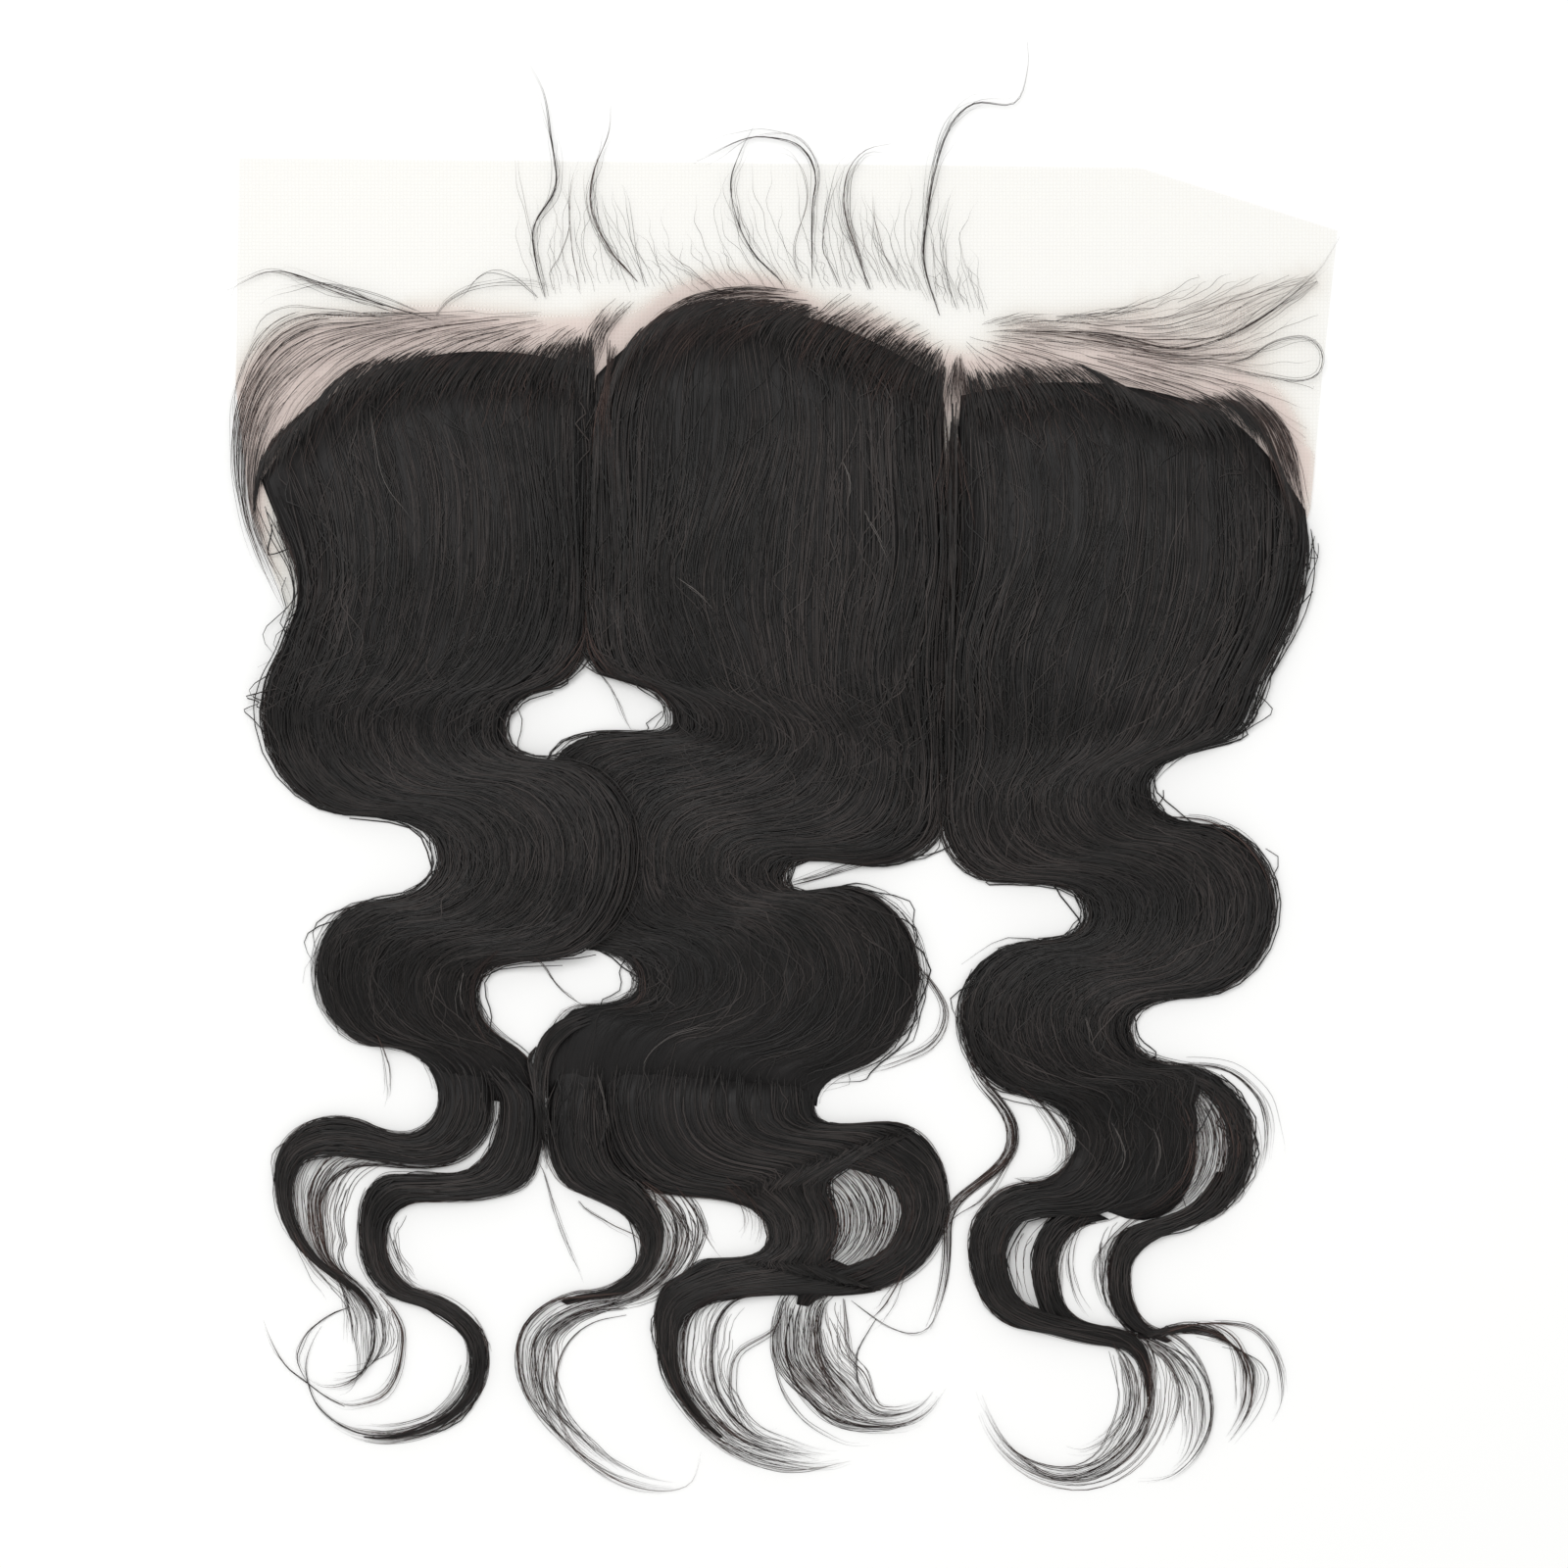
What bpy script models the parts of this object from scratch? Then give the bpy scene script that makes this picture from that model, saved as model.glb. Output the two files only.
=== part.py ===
# Lace frontal hairpiece, lying flat: a sheer lace base with long wavy hair tied into it.
# Metres, +Z up, the hair falling towards -Y. The origin is the centre of the lace's underside.
# Each section of hair is a loft. A row of its table is a cut across the hair, from the left
# edge to the right one, and the strands run from row to row. Places are shares of the named
# sizes: x of the lace's width, drop of the hair's length below the hairline.

import math
from collections import namedtuple

import bmesh
import bpy
from mathutils import Vector

# Driving sizes
LACE_WIDTH = 0.330
LACE_DEPTH = 0.152
LACE_WALL = 0.001
FRONT_MARGIN = 0.051
HAIR_DROP = 0.356
HAIR_THICK = 0.010
LOCK_THICK = 0.006
WISP_WIDTH = 0.0013
GAP = 0.0004

# How the hair is worked
RAMP = 0.020
EDGE_SHARE = 0.34
CROWN_POWER = 4
COMB_SHARE = 0.22
THIN_REACH = 0.6
OVER_SHARE = 0.62
TUCK_SHARE = 0.08
BODY_LANES = 10
BODY_STEPS = 4
LOCK_LANES = 4
LOCK_STEPS = 3
ARC_PULL = 1.15
WISP_STEPS = 3
WISP_TIP = 0.45

# way is the strands' heading in degrees: 0 down the length, 90 to the right, -90 to the left.
# thick is a share of the hair's thickness. bow is a share of the length by which the cut
# arches up, most at the share peak of its width. over is the share of the crossing lift at the
# right edge, and thin the share of its thickness that the left edge keeps.
Row = namedtuple(
    "Row",
    "left_x left_drop left_way right_x right_drop right_way thick bow peak over thin",
    defaults=(0, 0.5, 0, 1),
)

LEFT_BODY = (
    Row(-0.481, 0.128, 20, -0.175, 0.029, 0, 0.20, 0.062, 0.35),
    Row(-0.464, 0.168, 22, -0.178, 0.095, 0, 0.80, 0.042, 0.35),
    Row(-0.444, 0.225, 3, -0.181, 0.195, 0, 0.95, 0.006, 0.35),
    Row(-0.459, 0.274, -18, -0.183, 0.270, -5, 0.90),
    Row(-0.473, 0.310, -8, -0.221, 0.312, -80, 0.85),
    Row(-0.476, 0.335, 0, -0.255, 0.349, 0, 0.80),
    Row(-0.390, 0.419, 90, -0.200, 0.374, 85, 0.75, over=0.6),
    Row(-0.313, 0.457, 0, -0.136, 0.449, 0, 0.70, over=1.0),
    Row(-0.372, 0.494, -90, -0.209, 0.541, -85, 0.65, over=0.6),
    Row(-0.428, 0.553, 0, -0.282, 0.571, 0, 0.60),
    Row(-0.367, 0.618, 90, -0.250, 0.615, 60, 0.50),
    Row(-0.316, 0.658, 0, -0.219, 0.670, 0, 0.36),
)
CENTRE_BODY = (
    Row(-0.168, 0.034, 0, 0.154, 0.044, 0, 0.20, 0.063, 0.38),
    Row(-0.172, 0.095, 0, 0.155, 0.105, 0, 0.85, 0.042, 0.38),
    Row(-0.175, 0.195, 0, 0.156, 0.195, 0, 1.00, 0.006, 0.38),
    Row(-0.177, 0.270, 5, 0.149, 0.300, 0, 0.95),
    Row(-0.155, 0.301, 75, 0.148, 0.340, 0, 0.90),
    Row(-0.097, 0.339, 0, 0.148, 0.380, -3, 0.85),
    Row(-0.128, 0.350, -90, 0.146, 0.423, -10, 0.80, thin=0.7),
    Row(-0.186, 0.357, -72, 0.090, 0.461, -85, 0.75, thin=0.3),
    Row(-0.209, 0.440, 0, 0.001, 0.474, 0, 0.75, thin=0.3),
    Row(-0.173, 0.533, 80, 0.058, 0.482, 85, 0.75, thin=0.3),
    Row(-0.131, 0.562, 0, 0.128, 0.557, 0, 0.70, thin=0.8),
    Row(-0.177, 0.583, -88, 0.062, 0.640, -75, 0.62),
    Row(-0.2165, 0.662, 0, 0.034, 0.669, 0, 0.40),
)
RIGHT_BODY = (
    Row(0.162, 0.062, 0, 0.485, 0.159, 5, 0.20, 0.062, 0.70),
    Row(0.1615, 0.115, 0, 0.487, 0.184, -3, 0.80, 0.042, 0.70),
    Row(0.161, 0.200, 0, 0.480, 0.222, -12, 0.95, 0.006, 0.70),
    Row(0.155, 0.300, 0, 0.444, 0.301, -25, 0.90),
    Row(0.154, 0.368, 0, 0.411, 0.354, -65, 0.85),
    Row(0.152, 0.423, 5, 0.337, 0.398, 0, 0.80),
    Row(0.203, 0.475, 85, 0.388, 0.429, 88, 0.75),
    Row(0.286, 0.504, 0, 0.454, 0.498, 0, 0.70),
    Row(0.239, 0.529, -90, 0.379, 0.574, -88, 0.65),
    Row(0.169, 0.592, 0, 0.321, 0.603, 0, 0.60),
    Row(0.225, 0.659, 80, 0.370, 0.635, 90, 0.52),
    Row(0.274, 0.699, 0, 0.437, 0.702, 0, 0.44),
    Row(0.235, 0.734, -88, 0.375, 0.773, -80, 0.30),
)

# The locks that the sections divide into. Their thick is a share of the locks' thickness, and
# their first rows lie inside the section, where they are fused to it.
LEFT_OUTER_LOCK = (
    Row(-0.333, 0.630, 65, -0.278, 0.628, 50, 0.30),
    Row(-0.315, 0.660, 0, -0.264, 0.670, 0, 0.75),
    Row(-0.345, 0.693, -88, -0.309, 0.719, -80, 0.85),
    Row(-0.408, 0.679, -92, -0.381, 0.718, -90, 0.80),
    Row(-0.466, 0.726, 0, -0.427, 0.757, 0, 0.65),
    Row(-0.422, 0.809, 55, -0.402, 0.813, 55, 0.50),
    Row(-0.374, 0.865, 0, -0.367, 0.865, 0, 0.30),
    Row(-0.413, 0.910, -90, -0.413, 0.904, -90, 0.22),
)
LEFT_INNER_LOCK = (
    Row(-0.288, 0.630, 45, -0.236, 0.638, 30, 0.30),
    Row(-0.259, 0.668, 0, -0.220, 0.672, 0, 0.75),
    Row(-0.299, 0.727, -85, -0.250, 0.742, -75, 0.85),
    Row(-0.357, 0.728, -88, -0.331, 0.750, -90, 0.80),
    Row(-0.387, 0.769, 0, -0.366, 0.781, 0, 0.65),
    Row(-0.349, 0.835, 75, -0.331, 0.828, 78, 0.50),
    Row(-0.285, 0.887, 0, -0.270, 0.887, 0, 0.38),
    Row(-0.340, 0.946, -75, -0.336, 0.952, -75, 0.28),
    Row(-0.413, 0.938, -125, -0.414, 0.944, -125, 0.22),
)
CENTRE_SMALL_LOCK = (
    Row(-0.205, 0.630, -5, -0.160, 0.630, 0, 0.30),
    Row(-0.2155, 0.676, 0, -0.159, 0.670, 0, 0.75),
    Row(-0.186, 0.742, 68, -0.132, 0.732, 65, 0.80),
    Row(-0.127, 0.788, 0, -0.096, 0.781, 0, 0.60),
    Row(-0.177, 0.828, -88, -0.155, 0.839, -80, 0.45),
    Row(-0.242, 0.884, 0, -0.228, 0.884, 0, 0.30),
    Row(-0.190, 0.962, 50, -0.183, 0.957, 50, 0.24),
    Row(-0.098, 0.997, 88, -0.098, 0.991, 88, 0.22),
)
CENTRE_MAIN_LOCK = (
    Row(-0.160, 0.620, 0, 0.030, 0.640, -10, 0.30),
    Row(-0.166, 0.664, 0, 0.030, 0.668, 0, 0.95),
    Row(-0.110, 0.742, 78, 0.099, 0.683, 88, 0.95),
    Row(-0.009, 0.781, 0, 0.154, 0.750, 0, 0.90),
    Row(-0.055, 0.800, -88, 0.081, 0.828, -82, 0.80),
    Row(-0.096, 0.817, -60, -0.024, 0.831, -85, 0.65),
    Row(-0.114, 0.855, 0, -0.090, 0.862, -8, 0.50),
    Row(-0.087, 0.930, 38, -0.072, 0.926, 38, 0.38),
    Row(-0.004, 0.977, 80, -0.004, 0.966, 80, 0.28),
    Row(0.065, 0.973, 98, 0.064, 0.967, 98, 0.22),
)
CENTRE_TAIL = (
    Row(0.049, 0.800, -100, 0.078, 0.812, -92, 0.30),
    Row(0.012, 0.824, -45, 0.045, 0.835, -50, 0.50),
    Row(-0.002, 0.872, 0, 0.036, 0.866, 0, 0.34),
    Row(0.035, 0.924, 45, 0.058, 0.905, 45, 0.28),
    Row(0.098, 0.943, 92, 0.098, 0.934, 90, 0.24),
    Row(0.147, 0.918, 150, 0.141, 0.914, 150, 0.22),
)
RIGHT_MAIN_LOCK = (
    Row(0.277, 0.685, 0, 0.350, 0.690, 0, 0.30),
    Row(0.232, 0.735, -88, 0.293, 0.768, -85, 0.85),
    Row(0.176, 0.788, 0, 0.255, 0.811, 0, 0.75),
    Row(0.228, 0.860, 82, 0.284, 0.855, 75, 0.65),
    Row(0.302, 0.874, 85, 0.328, 0.866, 60, 0.50),
    Row(0.331, 0.918, 0, 0.344, 0.918, 0, 0.36),
    Row(0.268, 0.980, -90, 0.271, 0.987, -90, 0.26),
    Row(0.190, 0.930, -160, 0.185, 0.932, -160, 0.22),
)
RIGHT_THIN_LOCK = (
    Row(0.379, 0.724, -30, 0.424, 0.726, -20, 0.30),
    Row(0.336, 0.766, -75, 0.368, 0.775, -72, 0.70),
    Row(0.304, 0.815, 0, 0.322, 0.813, 0, 0.55),
    Row(0.334, 0.866, 70, 0.349, 0.861, 75, 0.45),
    Row(0.391, 0.930, 0, 0.398, 0.930, 0, 0.28),
    Row(0.355, 0.987, -60, 0.358, 0.990, -60, 0.22),
)
RIGHT_END_LOCK = (
    Row(0.330, 0.860, 80, 0.331, 0.868, 80, 0.34),
    Row(0.372, 0.856, 95, 0.372, 0.863, 95, 0.30),
    Row(0.431, 0.903, 0, 0.437, 0.903, 0, 0.26),
    Row(0.412, 0.952, -38, 0.416, 0.955, -38, 0.22),
)
RIGHT_STRAY_LOCK = (
    Row(0.176, 0.575, 5, 0.190, 0.575, 5, 0.30),
    Row(0.176, 0.637, 20, 0.183, 0.635, 20, 0.30),
    Row(0.212, 0.695, 0, 0.218, 0.695, 0, 0.28),
    Row(0.152, 0.772, 0, 0.157, 0.775, 0, 0.26),
    Row(0.135, 0.858, -25, 0.139, 0.860, -25, 0.22),
)

# The lace's outline: x as a share of its width, depth as a share from its front edge to its
# rear one.
LACE_OUTLINE = (
    (-0.500, 0.000),
    (0.320, 0.020),
    (0.515, 0.146),
    (0.500, 0.455),
    (0.490, 0.705),
    (0.440, 1.000),
    (-0.440, 1.000),
    (-0.490, 0.705),
    (-0.503, 0.455),
)

Bend = namedtuple("Bend", "x ahead")

# The thin wisps that lie forward over the bare lace, from their tips to their roots. ahead is
# a share of the bare front margin, measured forward of the hairline.
WISPS = {
    "front_wisp_a": (
        Bend(-0.232, 1.56), Bend(-0.218, 1.38), Bend(-0.212, 1.14), Bend(-0.206, 0.83),
        Bend(-0.225, 0.58), Bend(-0.224, 0.38), Bend(-0.200, 0.04),
    ),
    "front_wisp_b": (
        Bend(-0.156, 1.32), Bend(-0.158, 1.14), Bend(-0.172, 0.91), Bend(-0.174, 0.67),
        Bend(-0.156, 0.43), Bend(-0.131, 0.25),
    ),
    "front_wisp_c": (
        Bend(-0.080, 0.96), Bend(-0.034, 1.10), Bend(0.018, 1.07), Bend(0.033, 0.91),
        Bend(0.030, 0.67), Bend(0.036, 0.26),
    ),
    "front_wisp_d": (
        Bend(-0.043, 0.96), Bend(-0.046, 0.83), Bend(-0.038, 0.59), Bend(-0.023, 0.41),
        Bend(0.002, 0.25),
    ),
    "front_wisp_e": (
        Bend(0.103, 1.08), Bend(0.079, 1.04), Bend(0.062, 0.91), Bend(0.059, 0.70),
        Bend(0.069, 0.46), Bend(0.085, 0.18),
    ),
    "front_wisp_f": (
        Bend(0.228, 1.69), Bend(0.228, 1.53), Bend(0.214, 1.33), Bend(0.180, 1.33),
        Bend(0.157, 1.19), Bend(0.142, 0.93), Bend(0.135, 0.64), Bend(0.134, 0.36),
        Bend(0.148, 0.03),
    ),
    "side_wisp_right": (
        Bend(0.517, 0.53), Bend(0.490, 0.28), Bend(0.430, -0.02), Bend(0.369, -0.14),
        Bend(0.294, -0.06), Bend(0.200, -0.04),
    ),
    "side_wisp_left": (
        Bend(-0.510, 0.20), Bend(-0.467, 0.31), Bend(-0.422, 0.24), Bend(-0.369, 0.12),
        Bend(-0.322, 0.03),
    ),
}

THICK_COLUMN = Row._fields.index("thick")
LACE_COLOUR = (0.86, 0.83, 0.76, 1.0)
HAIR_COLOUR = (0.028, 0.024, 0.023, 1.0)
LACE_ROUGHNESS = 0.8
HAIR_ROUGHNESS = 0.45

hairline_y = LACE_DEPTH / 2 - FRONT_MARGIN
rear_y = -LACE_DEPTH / 2


def clear_scene():
    for old in list(bpy.data.objects):
        bpy.data.objects.remove(old)


def make_collection(name):
    made = bpy.data.collections.new(name)
    bpy.context.scene.collection.children.link(made)
    return made


def make_material(name, colour, roughness):
    made = bpy.data.materials.new(name)
    made.use_nodes = True
    shader = made.node_tree.nodes["Principled BSDF"]
    shader.inputs["Base Color"].default_value = colour
    shader.inputs["Roughness"].default_value = roughness
    shader.inputs["Metallic"].default_value = 0.0
    return made


def place(x, drop):
    """A point in plan from its shares."""
    return Vector((x * LACE_WIDTH, hairline_y - drop * HAIR_DROP))


def strand_way(degrees):
    turn = math.radians(degrees)
    return Vector((math.sin(turn), -math.cos(turn)))


def smooth(share):
    share = min(max(share, 0.0), 1.0)
    return share * share * (3 - 2 * share)


def bed(point):
    """What the hair lies on: the lace, and past its rear edge the surface below."""
    past = (rear_y - point.y - RAMP / 2) / RAMP
    return (LACE_WALL + GAP) * (1 - smooth(past))


def arc_between(start, start_way, end, end_way, t):
    """A smooth arc that leaves start and reaches end along the given headings."""
    pull = ARC_PULL * (end - start).length
    a = (2 * t**3 - 3 * t**2 + 1) * start
    b = (t**3 - 2 * t**2 + t) * pull * strand_way(start_way)
    c = (3 * t**2 - 2 * t**3) * end
    d = (t**3 - t**2) * pull * strand_way(end_way)
    return a + b + c + d


def crown(u):
    """The height across a cut, as a share: low at its edges and full in its middle."""
    return EDGE_SHARE + (1 - EDGE_SHARE) * (1 - (2 * u - 1) ** CROWN_POWER)


def arch(u, peak):
    """How far a cut arches up, as a share: 1 at its peak and 0 at its ends."""
    reach = peak if u < peak else 1 - peak
    return 1 - ((u - peak) / reach) ** 2


def cuts_of(rows, steps):
    """The cuts through the rows, each as its two ends and its shares, from thick to thin."""
    cuts = []
    for first, last in zip(rows, rows[1:]):
        for step in range(steps):
            cuts.append(cut_at(first, last, step / steps))
    cuts.append(cut_at(rows[-2], rows[-1], 1.0))
    return cuts


def cut_at(first, last, t):
    left = arc_between(
        place(first.left_x, first.left_drop), first.left_way,
        place(last.left_x, last.left_drop), last.left_way, t,
    )
    right = arc_between(
        place(first.right_x, first.right_drop), first.right_way,
        place(last.right_x, last.right_drop), last.right_way, t,
    )
    ease = smooth(t)
    shares = [a + (b - a) * ease for a, b in zip(first[THICK_COLUMN:], last[THICK_COLUMN:])]
    return left, right, shares


def loft(name, rows, full_thick, lanes, steps, tuck=0.0):
    """A closed body of hair through the rows. tuck raises the underside of its first row."""
    mesh = bmesh.new()
    rings = []
    for index, (left, right, shares) in enumerate(cuts_of(rows, steps)):
        thick, bow, peak, over, thin = shares
        tucked = tuck * (1 - smooth(index / steps))
        tops, bottoms = [], []
        for lane in range(lanes + 1):
            u = lane / lanes
            point = left.lerp(right, u)
            point.y += arch(u, peak) * bow * HAIR_DROP
            comb = 1 - COMB_SHARE * (lane % 2)
            kept = thin + (1 - thin) * min(u / THIN_REACH, 1)
            under = bed(point) + over * OVER_LIFT * u + tucked
            top = under + thick * full_thick * crown(u) * comb * kept
            tops.append(mesh.verts.new((point.x, point.y, top)))
            bottoms.append(mesh.verts.new((point.x, point.y, under)))
        rings.append((tops, bottoms))
    for (tops, bottoms), (next_tops, next_bottoms) in zip(rings, rings[1:]):
        for lane in range(lanes):
            mesh.faces.new((tops[lane], next_tops[lane], next_tops[lane + 1], tops[lane + 1]))
            mesh.faces.new(
                (bottoms[lane], bottoms[lane + 1], next_bottoms[lane + 1], next_bottoms[lane])
            )
        mesh.faces.new((tops[0], bottoms[0], next_bottoms[0], next_tops[0]))
        mesh.faces.new((tops[-1], next_tops[-1], next_bottoms[-1], bottoms[-1]))
    for tops, bottoms in (rings[0], rings[-1]):
        for lane in range(lanes):
            mesh.faces.new((tops[lane], tops[lane + 1], bottoms[lane + 1], bottoms[lane]))
    bmesh.ops.recalc_face_normals(mesh, faces=mesh.faces)
    data = bpy.data.meshes.new(name)
    mesh.to_mesh(data)
    mesh.free()
    return bpy.data.objects.new(name, data)


def fuse(body, locks):
    """Joins the locks to their section as one body, in their order."""
    for lock in locks:
        cutters.objects.link(lock)
        lock.hide_render = True
        lock.display_type = "WIRE"
        union = body.modifiers.new("fuse_" + lock.name, "BOOLEAN")
        union.operation = "UNION"
        union.solver = "EXACT"
        union.object = lock


def section(name, body_rows, lock_tables):
    body = loft(name, body_rows, HAIR_THICK, BODY_LANES, BODY_STEPS)
    parts.objects.link(body)
    body.data.materials.append(make_material(name + "_hair", HAIR_COLOUR, HAIR_ROUGHNESS))
    locks = [
        loft(f"{name}_{label}", rows, LOCK_THICK, LOCK_LANES, LOCK_STEPS, TUCK)
        for label, rows in lock_tables
    ]
    fuse(body, locks)
    return body


def lace_base():
    """A flat outline, extruded to the lace's thickness, its underside at z 0."""
    outline = bpy.data.curves.new("lace_base", "CURVE")
    outline.dimensions = "2D"
    outline.fill_mode = "BOTH"
    outline.extrude = LACE_WALL / 2
    edge = outline.splines.new("POLY")
    edge.points.add(len(LACE_OUTLINE) - 1)
    for point, (x, depth) in zip(edge.points, LACE_OUTLINE):
        point.co = (x * LACE_WIDTH, LACE_DEPTH * (0.5 - depth), 0, 1)
    edge.use_cyclic_u = True
    lace = bpy.data.objects.new("lace_base", outline)
    lace.location.z = LACE_WALL / 2
    parts.objects.link(lace)
    outline.materials.append(make_material("swiss_lace", LACE_COLOUR, LACE_ROUGHNESS))
    return lace


def wisp_points(bends):
    """A smooth line through a wisp's bends."""
    spots = [
        Vector((bend.x * LACE_WIDTH, hairline_y + bend.ahead * FRONT_MARGIN)) for bend in bends
    ]
    spots = [2 * spots[0] - spots[1], *spots, 2 * spots[-1] - spots[-2]]
    line = []
    for a, b, c, d in zip(spots, spots[1:], spots[2:], spots[3:]):
        for step in range(WISP_STEPS):
            t = step / WISP_STEPS
            line.append(
                0.5 * (2 * b + (c - a) * t + (2 * a - 5 * b + 4 * c - d) * t**2
                       + (3 * b - a - 3 * c + d) * t**3)
            )
    line.append(spots[-2])
    return line


def wisp(name, bends):
    line = wisp_points(bends)
    tube = bpy.data.curves.new(name, "CURVE")
    tube.dimensions = "3D"
    tube.bevel_depth = WISP_WIDTH / 2
    tube.bevel_resolution = 1
    tube.use_fill_caps = True
    spline = tube.splines.new("POLY")
    spline.points.add(len(line) - 1)
    height = LACE_WALL + GAP + WISP_WIDTH / 2
    for index, (point, spot) in enumerate(zip(spline.points, line)):
        point.co = (spot.x, spot.y, height, 1)
        point.radius = WISP_TIP + (1 - WISP_TIP) * index / (len(line) - 1)
    made = bpy.data.objects.new(name, tube)
    parts.objects.link(made)
    tube.materials.append(make_material(name + "_hair", HAIR_COLOUR, HAIR_ROUGHNESS))
    return made


# The left section crosses over the centre one, whose left edge is thin there.
OVER_LIFT = OVER_SHARE * HAIR_THICK + GAP
TUCK = TUCK_SHARE * HAIR_THICK

clear_scene()
parts = make_collection("lace_frontal_hairpiece")
cutters = make_collection("lock_shapes")
lace_base()
section(
    "left_section", LEFT_BODY,
    (("outer_lock", LEFT_OUTER_LOCK), ("inner_lock", LEFT_INNER_LOCK)),
)
section(
    "centre_section", CENTRE_BODY,
    (
        ("main_lock", CENTRE_MAIN_LOCK),
        ("small_lock", CENTRE_SMALL_LOCK),
        ("tail", CENTRE_TAIL),
    ),
)
section(
    "right_section", RIGHT_BODY,
    (
        ("main_lock", RIGHT_MAIN_LOCK),
        ("thin_lock", RIGHT_THIN_LOCK),
        ("end_lock", RIGHT_END_LOCK),
        ("stray_lock", RIGHT_STRAY_LOCK),
    ),
)
for wisp_name, wisp_bends in WISPS.items():
    wisp(wisp_name, wisp_bends)
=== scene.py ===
# %% [markdown]
# # Dressing a lace frontal in Blender
# The real object is a hairpiece: a sheer strip of lace, 13 inches from ear to ear, with
# thousands of long hairs knotted into it by hand. It lies flat on a white surface, seen from
# straight above. The solids that carry it are already packed, so this lesson loads them first
# and then makes everything that the eye sees: the net, the locks and the single hairs.

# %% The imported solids
import math
from collections import namedtuple

import bpy
import numpy as np
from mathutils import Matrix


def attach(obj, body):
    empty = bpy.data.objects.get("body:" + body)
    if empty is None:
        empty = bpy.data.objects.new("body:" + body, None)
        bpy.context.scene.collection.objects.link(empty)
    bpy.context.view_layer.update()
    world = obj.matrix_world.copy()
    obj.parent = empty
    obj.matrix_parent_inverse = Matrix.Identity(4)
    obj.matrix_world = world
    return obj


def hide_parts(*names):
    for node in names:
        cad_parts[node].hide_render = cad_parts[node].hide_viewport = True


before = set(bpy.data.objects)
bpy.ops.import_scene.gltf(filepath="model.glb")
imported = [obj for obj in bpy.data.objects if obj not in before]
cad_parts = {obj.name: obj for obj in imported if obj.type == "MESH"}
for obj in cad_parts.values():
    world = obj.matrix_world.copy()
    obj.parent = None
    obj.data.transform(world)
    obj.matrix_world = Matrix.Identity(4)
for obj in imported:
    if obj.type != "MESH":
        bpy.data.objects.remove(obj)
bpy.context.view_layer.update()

print("solids:", sorted(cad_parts))

# %% [markdown]
# ## Sizes
# A groom is easier to judge when every length is a real one. The lace's width comes from the
# trade: 13 inches. The hair falls from the hairline towards -Y, and a place in a lock's table
# is a share of two sizes, x of the lace's width and drop of the hair's length. The loose hairs
# are read from the photograph instead, in its own pixels, because each of them is drawn one
# by one. One function turns such a pixel into metres.

# %% Sizes
MM = 0.001
LACE_WIDTH = 330 * MM
LACE_DEPTH = 152 * MM
LACE_WALL = 1.0 * MM
FRONT_MARGIN = 51 * MM
HAIR_DROP = 356 * MM
HAIR_THICK = 10 * MM
LOCK_THICK = 6 * MM
GAP = 0.4 * MM
RAMP = 20 * MM
ARC_PULL = 1.15
EDGE_SHARE = 0.34
CROWN_POWER = 4
THIN_REACH = 0.6
OVER_LIFT = 0.62 * HAIR_THICK + GAP

HAIRLINE_Y = LACE_DEPTH / 2 - FRONT_MARGIN
REAR_Y = -LACE_DEPTH / 2

LACE_PIXELS = 1105
LACE_CENTRE_PIXEL = (796, 415)
PHOTO_SIZE = 1600
PIXEL = LACE_WIDTH / LACE_PIXELS

rng = np.random.default_rng(13)


def photo(points):
    """Photograph pixels to metres in plan."""
    points = np.asarray(points, float)
    return (points - LACE_CENTRE_PIXEL) * (PIXEL, -PIXEL)


print(f"one pixel is {PIXEL / MM:.4f} mm")

# %% [markdown]
# ## Camera, floor and light
# The photograph looks straight down, so the camera hangs 1.5 m above the lace with a long
# lens, and no shift is needed. The floor is a plain white board. It is lit a little past white,
# as in a product photograph, so that it stays clean. Most of the light comes from all around
# and the rest from a wide lamp near the camera, so the shadows under thin hair stay faint.

# %% Camera, floor and light
CAMERA_HEIGHT = 1.5
SENSOR = 36.0
ROOM_LIGHT = 0.80
SOFTBOX_WATTS = 18
frame_width = PHOTO_SIZE * PIXEL


def hex_linear(code):
    """An sRGB hex colour as a linear one, with alpha."""
    parts = [int(code[i:i + 2], 16) / 255 for i in (1, 3, 5)]
    linear = [c / 12.92 if c <= 0.04045 else ((c + 0.055) / 1.055) ** 2.4 for c in parts]
    return (*linear, 1.0)


def add_node(tree, kind, inputs=None, **settings):
    """Adds a node, sets it, and fills its inputs with values or links."""
    made = tree.nodes.new(kind)
    for setting, value in settings.items():
        setattr(made, setting, value)
    for socket, value in (inputs or {}).items():
        if isinstance(value, bpy.types.NodeSocket):
            tree.links.new(value, made.inputs[socket])
        else:
            made.inputs[socket].default_value = value
    return made


def new_material(name):
    """An empty material and the tree that its nodes go in."""
    made = bpy.data.materials.new(name)
    made.use_nodes = True
    made.node_tree.nodes.clear()
    return made, made.node_tree


def finish_material(tree, surface):
    add_node(tree, "ShaderNodeOutputMaterial", {"Surface": surface})


def add_area_light(name, watts, size, spot, aim):
    lamp = bpy.data.lights.new(name, "AREA")
    lamp.shape = "DISK"
    lamp.energy = watts
    lamp.size = size
    holder = bpy.data.objects.new(name, lamp)
    bpy.context.scene.collection.objects.link(holder)
    holder.location = spot
    direction = np.array(aim) - np.array(spot)
    holder.rotation_euler = (
        math.atan2(math.hypot(direction[0], direction[1]), -direction[2]),
        0,
        math.atan2(direction[1], direction[0]) - math.pi / 2,
    )
    return holder


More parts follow.
